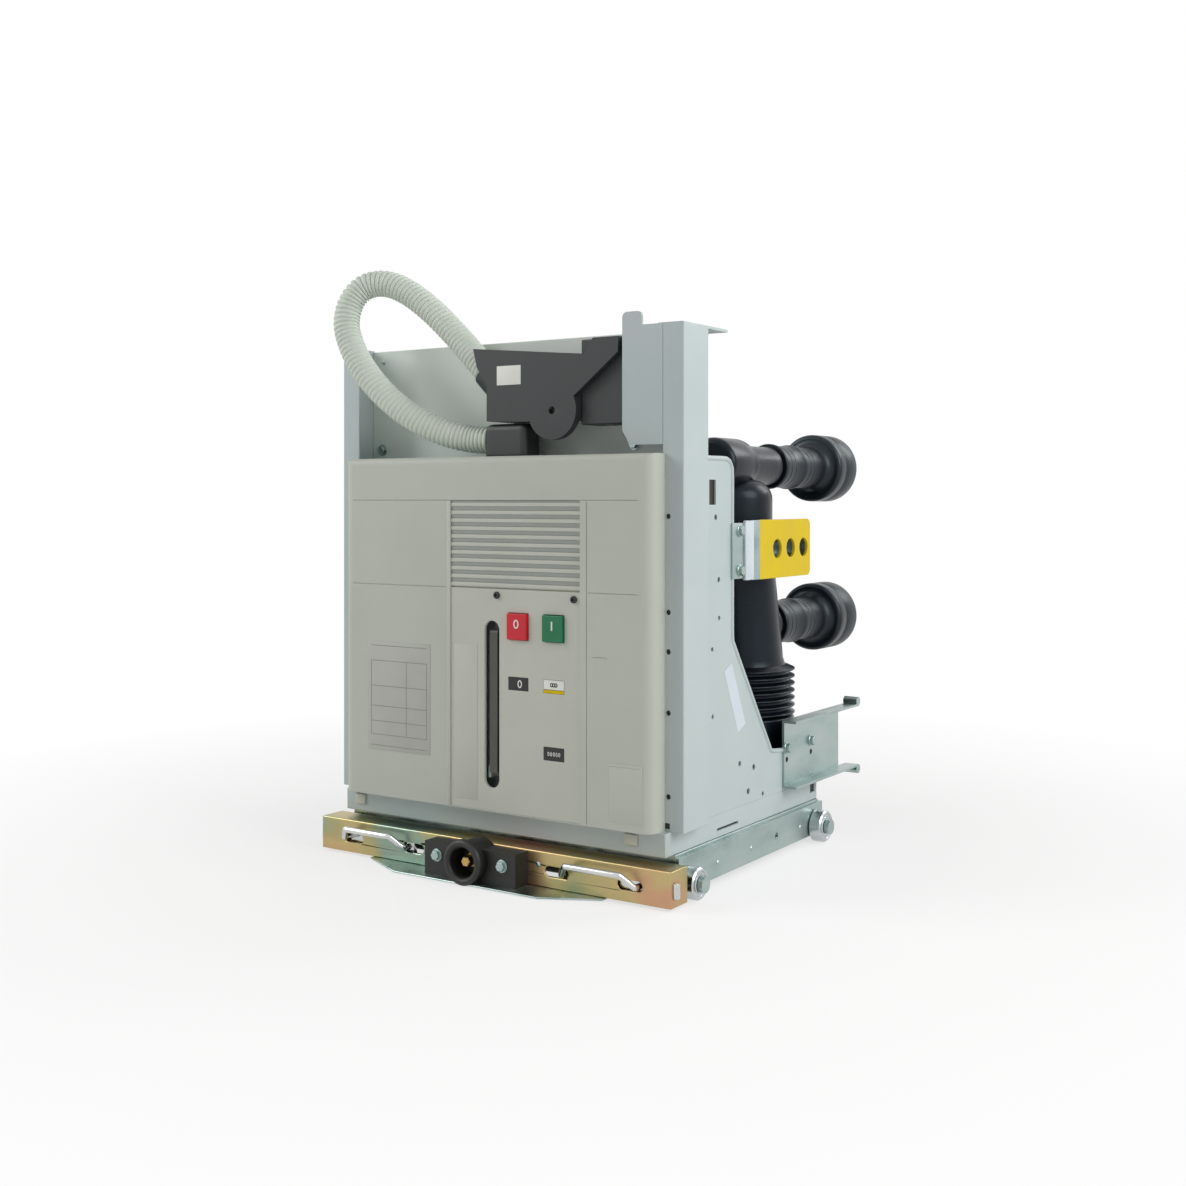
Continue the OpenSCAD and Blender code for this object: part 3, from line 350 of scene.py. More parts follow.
SIDES = (("left", -1), ("right", 1))
WALL_HOLES = [(125, 408, 3.2), (132, 338, 3), (133, 295, 2.6), (117, 261, 2.6), (118, 186, 2.6),
              (182, 124, 3.2), (217, 115, 3.6), (203, 89, 3.6), (240, 80, 2.8)]
WALL_SLOT = ((110, 125), (422, 450))
FLANGE_HOLES, FLANGE_X, FLANGE_HOLE_R = (410, 308, 266, 201, 112), 224, 3.0
RAIL_HOLES, RAIL_HOLE_Z, RAIL_HOLE_R = (298, 366), 112, 3.4
BASE_SLOTS = (((128, 178), (56.5, 59.5)), ((370, 386), (59, 71)))
PIVOT_X, PIVOT_Z, PIVOT_R = 71, 528, 4.4
SEAM, SEAM_END, HEADER, WAIST = (-1.0, 0.7), 202, (426.5, 427.6), (326.5, 327.6)
seams = [((-SEAM_END, SEAM_END), SEAM, HEADER), ((-SEAM_END, -59), SEAM, WAIST),
         ((139, SEAM_END), SEAM, WAIST), ((136.4, 137.5), SEAM, (77, 425)),
         ((145, 163), SEAM, (257.5, 258.5))]
cuts = {"front_cover": (seams, []), "plug_hood": ([], [(ALONG_Y, (PIVOT_X, 28, PIVOT_Z), PIVOT_R, 12.0)])}
cuts["base_frame"] = ([(outward(s, 224, 230), y, z) for s in (-1, 1) for y, z in BASE_SLOTS], [])
for side, s in SIDES:
    cuts["side_wall_" + side] = ([(outward(s, 222, 230), *WALL_SLOT)],
                                 [(ALONG_X, (s * 225.5, y, z), r, 5.0) for y, z, r in WALL_HOLES])
    cuts["upright_" + side] = ([], [(ALONG_Y, (s * FLANGE_X, 27.5, z), FLANGE_HOLE_R, 5.0)
                                    for z in FLANGE_HOLES])
    cuts["shutter_rail_" + side] = ([], [(ALONG_X, (s * 228.5, y, RAIL_HOLE_Z), RAIL_HOLE_R, 5.0)
                                         for y in RAIL_HOLES])
    cuts["truck_side_" + side] = ([], [(ALONG_X, (s * 230.5, 265, 26), 4.0, 8.0)])

plain = [
    (zinc, 0.8, ["truck_side_left", "truck_side_right", "truck_deck", "guide_arms", "drive_shelf",
                 "shutter_rail_left", "shutter_rail_right"]),
    (gold_zinc, 1.6, ["crosspiece"]),
    (frame_coat, 1.2, ["base_frame", "side_wall_left", "side_wall_right", "upright_left", "upright_right",
                       "mechanism_housing", "plug_bracket"]),
    (sheet_coat, 0.9, ["back_sheet"]),
    (cover_coat, 1.2, ["front_cover"]),
    (panel_coat, 0.6, ["louvre", "control_panel"]),
    (dark_plastic, 1.4, ["charging_lever"]),
    (black_plastic, 0.5, ["indicator_windows"]),
    (black_plastic, 2.2, ["drive_block"]),
    (red_plastic, 0.9, ["open_button"]),
    (green_plastic, 0.9, ["close_button"]),
    (plug_plastic, 1.8, ["plug_hood", "plug_socket"]),
    (plug_plastic, 8.0, ["conduit_fitting"]),
    (brass, 0.6, ["screw_nut"]),
]
for material, radius, names in plain:
    for node in names:
        softened(node, material, radius, *cuts.get(node, ()))
print("softened:", len(made))

# %% [markdown]
# The conduit is a corrugated plastic hose. Its ribs follow its path, which is work for Geometry Nodes:
# the route becomes a smooth curve, the curve is cut into short steps, its radius swings with the
# distance along it, and a circle is swept along it. A texture could only paint the ribs, and here they
# also show in the outline.

# %% Conduit
CONDUIT_RADIUS, RIB_DEPTH, RIB_PITCH = 16.0, 2.2, 5.8
conduit_route = [at(*point) for point in (
    (-40, 56, 577), (-58, 56, 595), (-88, 54, 625), (-122, 48, 657), (-154, 42, 680),
    (-182, 35, 691), (-206, 26, 688), (-220, 16, 670), (-221, 8, 641), (-206, 4, 609),
    (-183, 4, 578), (-154, 10, 548), (-122, 20, 524), (-88, 33, 507), (-56, 43, 499),
    (-27, 46, 497))]


def node_tree(name, inputs):
    """An empty Geometry Nodes tree with named inputs; returns it with its two end nodes."""
    tree = bpy.data.node_groups.new(name, "GeometryNodeTree")
    tree.interface.new_socket("Geometry", in_out="INPUT", socket_type="NodeSocketGeometry")
    for label, kind in inputs:
        tree.interface.new_socket(label, in_out="INPUT", socket_type="NodeSocket" + kind)
    tree.interface.new_socket("Geometry", in_out="OUTPUT", socket_type="NodeSocketGeometry")
    return tree, tree.nodes.new("NodeGroupInput").outputs, tree.nodes.new("NodeGroupOutput").inputs


def grown(name, points, edges, tree, values, facing=None):
    """Runs a tree on bare points and returns the result as a plain mesh object."""
    mesh = bpy.data.meshes.new("seed_" + name)
    mesh.from_pydata(points, edges, [])
    if facing:
        attribute = mesh.attributes.new("facing", "FLOAT_VECTOR", "POINT")
        attribute.data.foreach_set("vector", [c for direction in facing for c in direction])
    seed = linked("seed_" + name, mesh)
    grow = seed.modifiers.new("grow", "NODES")
    grow.node_group = tree
    for item in tree.interface.items_tree:
        if item.in_out == "INPUT" and item.name in values:
            grow[item.identifier] = values[item.name]
    result = applied(seed)
    bpy.data.objects.remove(seed)
    return linked(name, result)


hose, given, out = node_tree("corrugated hose", [("Outer Radius", "Float"), ("Rib Depth", "Float"),
                                                 ("Rib Pitch", "Float"), ("Material", "Material")])
line = add(hose, "GeometryNodeMeshToCurve", {"Mesh": given["Geometry"]})
bent = add(hose, "GeometryNodeCurveSplineType", {"Curve": line.outputs["Curve"]}, spline_type="CATMULL_ROM")
step = add(hose, "ShaderNodeMath", {0: given["Rib Pitch"], 1: 10.0}, operation="DIVIDE")
fine = add(hose, "GeometryNodeResampleCurve", {"Curve": bent.outputs["Curve"], "Length": step.outputs[0]},
           mode="LENGTH")
run = add(hose, "GeometryNodeSplineParameter")
share = add(hose, "ShaderNodeMath", {0: run.outputs["Length"], 1: given["Rib Pitch"]}, operation="DIVIDE")
angle = add(hose, "ShaderNodeMath", {0: share.outputs[0], 1: math.tau}, operation="MULTIPLY")
wave = add(hose, "ShaderNodeMath", {0: angle.outputs[0]}, operation="COSINE")
dip = add(hose, "ShaderNodeMath", {0: wave.outputs[0], 1: -0.5, 2: 0.5}, operation="MULTIPLY_ADD")
narrow = add(hose, "ShaderNodeMath", {0: dip.outputs[0], 1: 2.5}, operation="POWER")
loss = add(hose, "ShaderNodeMath", {0: narrow.outputs[0], 1: given["Rib Depth"]}, operation="MULTIPLY")
radius = add(hose, "ShaderNodeMath", {0: given["Outer Radius"], 1: loss.outputs[0]}, operation="SUBTRACT")
ring = add(hose, "GeometryNodeCurvePrimitiveCircle", {"Resolution": 28, "Radius": 1.0})
tube = add(hose, "GeometryNodeCurveToMesh", {"Curve": fine.outputs["Curve"],
                                             "Profile Curve": ring.outputs["Curve"],
                                             "Scale": radius.outputs[0], "Fill Caps": True})
whole = add(hose, "GeometryNodeRealizeInstances", {"Geometry": tube.outputs["Mesh"]})
coat = add(hose, "GeometryNodeSetMaterial", {"Geometry": whole.outputs["Geometry"],
                                             "Material": given["Material"]})
hose.links.new(coat.outputs["Geometry"], out["Geometry"])


def swept(name, points, radius, material, depth=0.0, pitch=20.0):
    """A round piece along points, plain or with ribs of that depth and pitch, in mm."""
    steps = [(i, i + 1) for i in range(len(points) - 1)]
    obj = grown(name, points, steps, hose, {"Outer Radius": radius / 1000, "Rib Depth": depth / 1000,
                                            "Rib Pitch": pitch / 1000, "Material": material})
    obj.data.shade_smooth()
    return obj


conduit = swept("conduit_hose", conduit_route, CONDUIT_RADIUS, conduit_plastic, RIB_DEPTH, RIB_PITCH)
hand_over(conduit, "breaker", "conduit_plastic", "conduit")

# %% [markdown]
# The poles are cast resin: a plain foot, seven sheds that lengthen the path that a leakage current would
# have to creep, a smooth body that leans forward to a round shoulder, and a head on top. All are round, so
# each is a profile spun about its axis, and the profile gives every lip its radius. A stack of cylinders
# would leave hard edges that no mould has.

# %% Poles
POLE_PITCH = 150.0
POLES = {"left": -POLE_PITCH, "centre": 0.0, "right": POLE_PITCH}
CONTACT_HEIGHTS = (266.0, 471.0)
POLE_Y, FOOT_Y, SEAT_Y = 312.0, 330.0, 383.0
BASE_TOP = 75.0
FOOT_R, SHED_ROOT_R, SHED_R = 67.0, 61.0, 68.0
NECK_R, BODY_R, HEAD_R, ARM_R = 54.0, 48.0, 33.0, 25.0
SHED_START, SHED_PITCH, SHED_COUNT = 159.0, 9.0, 7
LEAN_TOP, BODY_TOP, SHOULDER_R = 374.0, 452.0, 24.0
HEAD_FRONT, HEAD_ROUND = -62.0, 9.0


def arc(centre, radius, start, end, steps=6):
    """Points of an arc in a profile, angles in degrees."""
    turns = [math.radians(start + (end - start) * i / steps) for i in range(steps + 1)]
    return [(centre[0] + radius * math.cos(a), centre[1] + radius * math.sin(a)) for a in turns]


foot = [(0, BASE_TOP), (FOOT_R - 1, BASE_TOP), (FOOT_R, BASE_TOP + 2)]
foot += arc((FOOT_R - 3, SHED_START - 4), 3, 0, 70)
for i in range(SHED_COUNT):
    low = SHED_START + i * SHED_PITCH
    foot += [(SHED_ROOT_R, low)] + arc((SHED_R - 1.4, low + 3), 1.4, -65, 65) + [(SHED_ROOT_R, low + 7)]
shed_top = SHED_START + SHED_COUNT * SHED_PITCH
foot += [(NECK_R, shed_top), (0, shed_top)]
lean = FOOT_Y - POLE_Y
body = [(0, shed_top - 4, lean), (NECK_R + 3, shed_top - 4, lean), (NECK_R + 1, shed_top + 2, lean),
        (NECK_R - 0.5, shed_top + 8, lean * 0.95), (BODY_R, LEAN_TOP, 0)]
body += arc((BODY_R - SHOULDER_R, BODY_TOP - SHOULDER_R), SHOULDER_R, 0, 90, 10) + [(0, BODY_TOP)]
seat = SEAT_Y - POLE_Y
head = [(0, HEAD_FRONT)] + arc((HEAD_R - HEAD_ROUND, HEAD_FRONT + HEAD_ROUND), HEAD_ROUND, -90, 0)
head += [(HEAD_R, -14), (HEAD_R - 1.5, -5), (ARM_R + 2.5, 11), (ARM_R + 0.5, 18), (ARM_R, 25), (ARM_R, seat)]
lower_seat = [(0, 0), (ARM_R + 8, 40), (ARM_R + 2, 64), (ARM_R, seat), (0, seat)]
for name, x in POLES.items():
    pole = bmesh.new()
    turn(pole, foot, at(x, FOOT_Y, 0), segments=64)
    turn(pole, body, at(x, POLE_Y, 0), segments=64)
    turn(pole, head + [(0, seat)], at(x, POLE_Y, CONTACT_HEIGHTS[1]), ALONG_Y)
    turn(pole, lower_seat, at(x, POLE_Y, CONTACT_HEIGHTS[0]), ALONG_Y)
    node = "pole_" + name
    piece(node + "_cast", pole, epoxy, "breaker", slot_of[node], node)
print("poles:", len(POLES), "with", SHED_COUNT, "sheds each")

# %% [markdown]
# A contact arm is a copper bar in a black insulating sleeve. Ring collars stiffen the sleeve, and a wide
# shroud guards the mouth. Each arm is one closed profile that runs along the outside, round the lip and
# back into the shroud. A rod with a dark disc on its end would look flat, while this mouth is hollow.

# %% Contact arms
SLEEVE_R, COLLAR_R, SHROUD_R = 27.5, 29.5, 46.0
SLEEVE_Y, SHROUD_Y, ARM_END_Y = 404.0, 533.0, 589.0
COLLAR_PITCH, COLLAR_W = 56.0, 8.0
SHROUD_WALL, SHROUD_FLOOR = 5.0, 8.0
arm = [(0, SEAT_Y), (ARM_R, SEAT_Y), (ARM_R, SLEEVE_Y - 5), (ARM_R - 2, SLEEVE_Y - 4), (ARM_R - 2, SLEEVE_Y)]
for i in range(2):
    start = SLEEVE_Y + i * COLLAR_PITCH
    arm += [(COLLAR_R - 1, start), (COLLAR_R, start + 1.5), (COLLAR_R, start + COLLAR_W - 2),
            (SLEEVE_R, start + COLLAR_W)]
    for groove in (18, 30):
        arm += [(SLEEVE_R, start + groove), (SLEEVE_R - 0.9, start + groove + 1),
                (SLEEVE_R, start + groove + 2)]
arm += [(SLEEVE_R, SHROUD_Y - 13)] + arc((SLEEVE_R + 12, SHROUD_Y - 12), 12, 180, 90)
arm += arc((SHROUD_R - 6, SHROUD_Y + 6), 6, -90, 0)
arm += [(SHROUD_R, SHROUD_Y + 20), (SHROUD_R - 0.8, SHROUD_Y + 21.5), (SHROUD_R - 0.8, SHROUD_Y + 23),
        (SHROUD_R, SHROUD_Y + 24.5)]
arm += arc((SHROUD_R - 2.5, ARM_END_Y - 2.5), 2.5, 0, 180)
arm += [(SHROUD_R - SHROUD_WALL, SHROUD_Y + SHROUD_FLOOR), (0, SHROUD_Y + SHROUD_FLOOR)]
for name, x in POLES.items():
    arms = bmesh.new()
    for z in CONTACT_HEIGHTS:
        turn(arms, arm, at(x, 0, z), ALONG_Y, segments=64)
    node = "contact_arms_" + name
    piece(node + "_sleeved", arms, sleeve, "breaker", slot_of[node], node)
print("contact arms:", len(POLES) * len(CONTACT_HEIGHTS))

# %% [markdown]
# Repeated small things share one tree: it sets a copy of a model piece on each point, turns it to the
# point's own facing and makes all the copies one mesh. Screws, rivets, fingers and louvre strips all come
# from it, so a change to one model changes every copy.

# %% Tree for repeated pieces


def copies_tree(name, pivot):
    """A tree that sets copies of an object on points, its Z axis turned to their facing."""
    tree, given, out = node_tree(name, [("Model", "Object"), ("Material", "Material")])
    model = add(tree, "GeometryNodeObjectInfo", {"Object": given["Model"]})
    facing = add(tree, "GeometryNodeInputNamedAttribute", {"Name": "facing"}, data_type="FLOAT_VECTOR")
    turned = add(tree, "FunctionNodeAlignRotationToVector", {"Vector": facing.outputs["Attribute"]},
                 axis="Z", pivot_axis=pivot)
    spread = add(tree, "GeometryNodeInstanceOnPoints", {"Points": given["Geometry"],
                                                        "Instance": model.outputs["Geometry"],
                                                        "Rotation": turned.outputs["Rotation"]})
    whole = add(tree, "GeometryNodeRealizeInstances", {"Geometry": spread.outputs["Instances"]})
    coat = add(tree, "GeometryNodeSetMaterial", {"Geometry": whole.outputs["Geometry"],
                                                 "Material": given["Material"]})
    tree.links.new(coat.outputs["Geometry"], out["Geometry"])
    return tree


any_way = copies_tree("copies turned any way", "AUTO")
about_y = copies_tree("copies turned about Y", "Y")


def copies(name, model, material, body, slot, places, tree=any_way):
    """Sets a model piece on (point, facing) places, as one piece on a body."""
    obj = grown(name, [p for p, facing in places], [], tree, {"Model": model, "Material": material},
                [facing for p, facing in places])
    obj.data.shade_smooth()
    obj.data.set_sharp_from_angle(angle=math.radians(SHARP_FROM))
    return hand_over(obj, body, slot)


def model_piece(name, shape):
    """A small model at the origin that only the copies show."""
    obj = closed(name, shape)
    obj.hide_render = True
    return obj


print("trees:", [tree.name for tree in bpy.data.node_groups])

# %% [markdown]
# A tulip contact grips the fixed pin with a ring of sprung copper fingers. One finger is modelled, with a
# tapered tip, and the tree sets it round the axis. Two garter springs hold the fingers together. Slots
# cut in a ring would do too, but one finger is easier to shape.

# %% Tulip contacts
TULIP_R, TULIP_BORE = 32.0, 17.5
TULIP_Y = (541.0, 583.0)
FINGERS, FINGER_HALF = 20, 2.1
finger_shape = bmesh.new()
depth = TULIP_Y[1] - TULIP_Y[0]
side = [(TULIP_BORE + 0.5, 2), (TULIP_BORE + 0.5, depth - 3), (TULIP_BORE + 4, depth), (TULIP_R - 4, depth),
        (TULIP_R - 2, depth - 8), (TULIP_R - 4, depth - 14), (TULIP_R - 2, 6), (TULIP_R - 2, 2)]
rows = [[finger_shape.verts.new(Vector((x, y, r)) / 1000) for r, y in side]
        for x in (-FINGER_HALF, FINGER_HALF)]
finger_shape.faces.new(rows[0])
finger_shape.faces.new(rows[1][::-1])
for k in range(len(side)):
    n = (k + 1) % len(side)
    finger_shape.faces.new((rows[0][k], rows[1][k], rows[1][n], rows[0][n]))
finger = model_piece("finger_model", finger_shape)
for name, x in POLES.items():
    node = "tulips_" + name
    rings = bmesh.new()
    places = []
    for z in CONTACT_HEIGHTS:
        centre = at(x, TULIP_Y[0], z)
        base = [(TULIP_BORE, 0), (TULIP_R, 0), (TULIP_R, 4), (TULIP_BORE, 4), (TULIP_BORE, 0)]
        turn(rings, base, centre, ALONG_Y)
        for spring in (depth - 14, 16):
            turn(rings, arc((TULIP_R - 1.5, spring), 1.5, 0, 360, 8), centre, ALONG_Y)
        turns = [math.tau * k / FINGERS for k in range(FINGERS)]
        places += [(centre, Vector((math.sin(a), 0, math.cos(a)))) for a in turns]
    piece(node + "_rings", rings, silver, "breaker", slot_of[node], node)
    copies(node + "_fingers", finger, silver, "breaker", slot_of[node], places, about_y)
print("tulip fingers:", FINGERS * len(POLES) * len(CONTACT_HEIGHTS))

# %% [markdown]
# The rollers are turned steel: a chamfer at each edge and a shallow groove in the face. The racking screw
# has a real thread: its radius follows both the turn and the distance along the screw. It has two starts
# and a left-hand lead of 10 mm, so that turning it clockwise pushes the nut away. A hexagon at its front
# end takes the crank.

# %% Rollers and racking screw
WHEEL_FACE, WHEEL_W, WHEEL_BORE = 249.0, 16.0, 6.1
for end, y, r in (("front", 52.0, 17.5), ("rear", 371.0, 19.5)):
    rim = [(WHEEL_BORE, 0), (r - 1.5, 0), (r, 1.5), (r, WHEEL_W - 1.5), (r - 1.5, WHEEL_W), (r - 4, WHEEL_W),
           (r - 4.6, WHEEL_W - 1), (r - 7, WHEEL_W - 1), (r - 7.6, WHEEL_W), (WHEEL_BORE, WHEEL_W),
           (WHEEL_BORE, 0)]
    for name, s in SIDES:
        node = f"{end}_wheel_{name}"
        wheel = bmesh.new()
        points = [(radius, s * (WHEEL_FACE - WHEEL_W + along)) for radius, along in rim]
        turn(wheel, points, at(0, y, r), ALONG_X, segments=64)
        piece(node + "_turned", wheel, roller, node, slot_of[node], node)

SCREW_R, SCREW_Z, SCREW_Y = 8.0, 25.5, (-25.0, 300.0)
SCREW_SEGMENTS, SCREW_STEPS, PLAIN_LONG = 32, 812, 40.0
THREAD_LEAD, THREAD_STARTS, THREAD_DEPTH = 10.0, 2, 2.0
HEX_R, HEX_LONG = 6.2, 14.0
screw = bmesh.new()
rings = []
for i in range(SCREW_STEPS + 1):
    y = SCREW_Y[0] + (SCREW_Y[1] - SCREW_Y[0]) * i / SCREW_STEPS
    plain_end = y < SCREW_Y[0] + PLAIN_LONG
    ring = []
    for k in range(SCREW_SEGMENTS):
        phase = THREAD_STARTS * (y / THREAD_LEAD - k / SCREW_SEGMENTS) % 1.0
        dip = 0.0 if plain_end else THREAD_DEPTH * min(1.0, max(0.0, 5 * abs(phase - 0.5) - 0.75))
        a = math.tau * k / SCREW_SEGMENTS
        reach = SCREW_R - dip
        ring.append(screw.verts.new(at(reach * math.cos(a), y, SCREW_Z + reach * math.sin(a))))
    rings.append(ring)
for a, b in zip(rings, rings[1:]):
    for k in range(SCREW_SEGMENTS):
        n = (k + 1) % SCREW_SEGMENTS
        screw.faces.new((a[k], a[n], b[n], b[k]))
screw.faces.new(rings[0])
screw.faces.new(rings[-1])
turn(screw, [(0, 0), (HEX_R - 1, 0), (HEX_R, 1), (HEX_R, HEX_LONG), (0, HEX_LONG)],
     at(0, SCREW_Y[0] - HEX_LONG + 1, SCREW_Z), ALONG_Y, 6)
piece("racking_screw_threaded", screw, brass, "racking_screw", "brass", "racking_screw")
print("wheels: 4, thread turns:", round((SCREW_Y[1] - SCREW_Y[0]) / THREAD_LEAD))

# %% [markdown]
# Each locking bar is pulled by a handle of bent steel rod. It could be joined from cylinders, but the
# hose's tree with no ribs gives a smooth curve and a round sweep. Points close to a bend keep it tight.

# %% Locking bars and handles
ROD_R = 3.5
LATCH_Z, LATCH_BAR = 21.0, (-2.0, 4.0)
LEGS, LATCH_TIP = (112.0, 206.0), 252.0
GRIP_Y, GRIP_Z, DRAW, KNEE_Y = -25.0, 35.0, 14.0, -13.0


def rounded_box(shape, x, y, z, radius):
    """Adds a box with rounded edges, in millimetres."""
    corners = box(shape, x, y, z)
    edges = list({edge for corner in corners for edge in corner.link_edges})
    bmesh.ops.bevel(shape, geom=edges, offset=radius / 1000, segments=2, profile=0.5, affect="EDGES")


for name, s in SIDES:
    node = "latch_" + name
    inner, outer = LEGS
    rest = sum(LATCH_BAR) / 2
    bends = [(inner, rest, LATCH_Z), (inner, -9, LATCH_Z), (inner + 1, KNEE_Y, LATCH_Z + 1),
             (inner + DRAW - 2, GRIP_Y + 2, GRIP_Z - 1), (inner + DRAW + 6, GRIP_Y, GRIP_Z),
             (outer - DRAW - 6, GRIP_Y, GRIP_Z), (outer - DRAW + 2, GRIP_Y + 2, GRIP_Z - 1),
             (outer - 1, KNEE_Y, LATCH_Z + 1), (outer, -9, LATCH_Z), (outer, rest, LATCH_Z)]
    points = [at(s * x, y, z) for x, y, z in bends]
    hand_over(swept(node + "_handle", points, ROD_R, bright_rod), node, "bright_rod")
    bar = bmesh.new()
    ends = outward(s, inner - 7.5, LATCH_TIP)
    rounded_box(bar, ends, LATCH_BAR, (LATCH_Z - 8, LATCH_Z + 8), 1.0)
    piece(node + "_bar", bar, bright_rod, node, "bright_rod", node)
print("handles: 2")

# %% [markdown]
# The buttons carry the two signs that every switch has, a ring for off and a bar for on. The windows show
# a plain ring, a white and yellow flag with a spring sign, and a row of zeros. All are thin raised prints,
# made as flat rings and bars, so that they stay sharp at any size.

# %% Signs on the controls
PANEL_Y, BUTTON_Y, WINDOW_Y = 0.8, -3.2, 1.3
OPEN_X, CLOSE_X, BUTTON_Z, WINDOW_Z, COUNTER_Z = 44.5, 93.0, 286.0, 222.0, 148.0


def flat_ring(shape, x, z, wide, high, stroke, face, lift=0.3):
    """Adds an upright oval ring that stands a little in front of a face."""
    steps = 28
    loops = []
    for y, grow in ((face - lift, 0), (face - lift, -stroke), (face, -stroke), (face, 0)):
        turns = [math.tau * k / steps for k in range(steps)]
        loops.append([shape.verts.new(at(x + (wide + grow) * math.cos(a), y, z + (high + grow) * math.sin(a)))
                      for a in turns])
    for a, b in zip(loops, loops[1:] + loops[:1]):
        for k in range(steps):
            n = (k + 1) % steps
            shape.faces.new((a[k], a[n], b[n], b[k]))


sign = bmesh.new()
flat_ring(sign, OPEN_X, BUTTON_Z + 3, 3.6, 5.0, 1.5, BUTTON_Y)
piece("open_button_sign", sign, white_print, "open_button", "red_plastic")
sign = bmesh.new()
box(sign, (CLOSE_X - 0.9, CLOSE_X + 0.9), (BUTTON_Y - 0.3, BUTTON_Y), (BUTTON_Z - 2, BUTTON_Z + 8))
piece("close_button_sign", sign, white_print, "close_button", "green_plastic")

marks = bmesh.new()
flat_ring(marks, OPEN_X + 2, WINDOW_Z, 3.0, 4.4, 1.3, WINDOW_Y)
box(marks, (CLOSE_X - 13.6, CLOSE_X + 13.6), (WINDOW_Y - 0.3, WINDOW_Y), (WINDOW_Z - 3.2, WINDOW_Z + 7.2))
for i in range(5):
    flat_ring(marks, CLOSE_X - 7.2 + 3.6 * i, COUNTER_Z, 1.2, 2.3, 0.6, WINDOW_Y)
piece("window_marks", marks, white_print, "breaker", "dark_plastic")
flag = bmesh.new()
box(flag, (CLOSE_X - 13.6, CLOSE_X + 13.6), (WINDOW_Y - 0.3, WINDOW_Y), (WINDOW_Z - 7.2, WINDOW_Z - 3.8))
piece("window_flag", flag, yellow_film, "breaker", "dark_plastic")
spring_sign = bmesh.new()
for i in range(3):
    flat_ring(spring_sign, CLOSE_X - 3 + 3 * i, WINDOW_Z + 2, 1.9, 2.3, 0.9, WINDOW_Y - 0.3)
piece("window_spring_sign", spring_sign, black_plastic, "breaker", "dark_plastic")
print("signs: 5 pieces")

# %% [markdown]
# The rating plate and the sticker on the plug are thin films, bare apart from empty ruled fields on the
# plate. A smooth strip beside the lever, a raised rib, a lip and a pale lining behind the lever slot finish
# the front. All are thin boxes with soft edges, which stand off the cover as real ones do. Between the
# louvre's blades lie recesses that get little light: one darker strip of painted shade is modelled, and
# the tree for repeated pieces sets it over each blade.

# %% Plates and ribs on the front
PLATE_X, PLATE_Z = (-178.0, -82.0), (130.0, 259.0)


def thin_plate(name, x, y, z, material, slot, radius=0.25):
    """A thin plate on the breaker with softened edges."""
    shape = bmesh.new()
    rounded_box(shape, x, y, z, radius)
    return piece(name, shape, material, "breaker", slot)


thin_plate("rating_plate", PLATE_X, (-0.5, 0.2), PLATE_Z, label_film, "cover_grey")
fields = bmesh.new()
for z in (254, 236, 206, 182, 164, 148, 135):
    box(fields, (PLATE_X[0] + 5, PLATE_X[1] - 5), (-0.65, -0.5), (z - 0.35, z + 0.35))
for x in (PLATE_X[0] + 5, -118, PLATE_X[1] - 5):
    box(fields, (x - 0.35, x + 0.35), (-0.64, -0.5), (148, 236))
piece("rating_plate_fields", fields, grey_print, "breaker", "cover_grey")
thin_plate("lever_strip", (-47, -13), (0.4, 0.9), (86, 263), panel_coat, "cover_grey")
thin_plate("plug_sticker", (-6, 28), (27.6, 28.1), (559, 581), white_print, "plug_plastic")
thin_plate("cover_rib", (-57, -52), (-0.9, 1.0), (77, 426), panel_coat, "cover_grey", 0.8)
thin_plate("cover_pad", (166, 207), (-0.5, 0.4), (84, 143), cover_coat, "cover_grey", 0.4)
thin_plate("cover_lip", (165, 207), (-0.9, 0.4), (143, 146), panel_coat, "cover_grey", 0.4)
thin_plate("lever_slot_lining", (-8, 24), (27.2, 28.8), (96, 297), sheet_coat, "dark_plastic", 0.4)
thin_plate("rear_access_plate", (-190, 190), (161.8, 163.6), (300, 455), frame_coat, "painted_steel", 0.5)
LOUVRE_X, LOUVRE_Z, BLADES = (-52.0, 128.0), (327.0, 427.0), 11
# Each strip is painted shade: a darker grey laid over a recess between the blades.
SHADE_STRIP_HIGH, SHADE_STRIP_DEEP, SHADE_STRIP_Y = 3.8, 0.8, 1.8
shade_strip = bmesh.new()
strip = Vector((LOUVRE_X[1] - LOUVRE_X[0] - 2, SHADE_STRIP_DEEP, SHADE_STRIP_HIGH)) / 1000
bmesh.ops.create_cube(shade_strip, size=1.0, matrix=Matrix.Diagonal(strip.to_4d()))
shade_strip_model = model_piece("louvre_gap_model", shade_strip)
pitch = (LOUVRE_Z[1] - LOUVRE_Z[0]) / BLADES
heights = [LOUVRE_Z[0] + i * pitch for i in range(1, BLADES)] + [LOUVRE_Z[1] - SHADE_STRIP_HIGH / 2 - 0.3]
shade_strip_places = [(at(sum(LOUVRE_X) / 2, SHADE_STRIP_Y, z), Vector((0, 0, 1))) for z in heights]
copies("louvre_gaps", shade_strip_model, louvre_shade, "breaker", "cover_grey", shade_strip_places)
bpy.data.objects.remove(shade_strip_model)
for i, x in enumerate((-203, 185)):
    thin_plate(f"base_clip_{i}", (x - 8, x + 8), (12.4, 15.2), (58, 70), panel_coat, "painted_steel", 0.9)
print("front plates done")

# %% [markdown]
# A lifting plate is zinc plated where it is bolted to the wall and painted yellow where a hook takes it.
# The painted end is cut from sheet: a flat curve with holes, filled and given a thickness and a soft edge,
# keeps its faces dead flat. Short bushes behind the holes spread the hook's load. A bare film on the
# wall's slope is cut the same way as the plate.

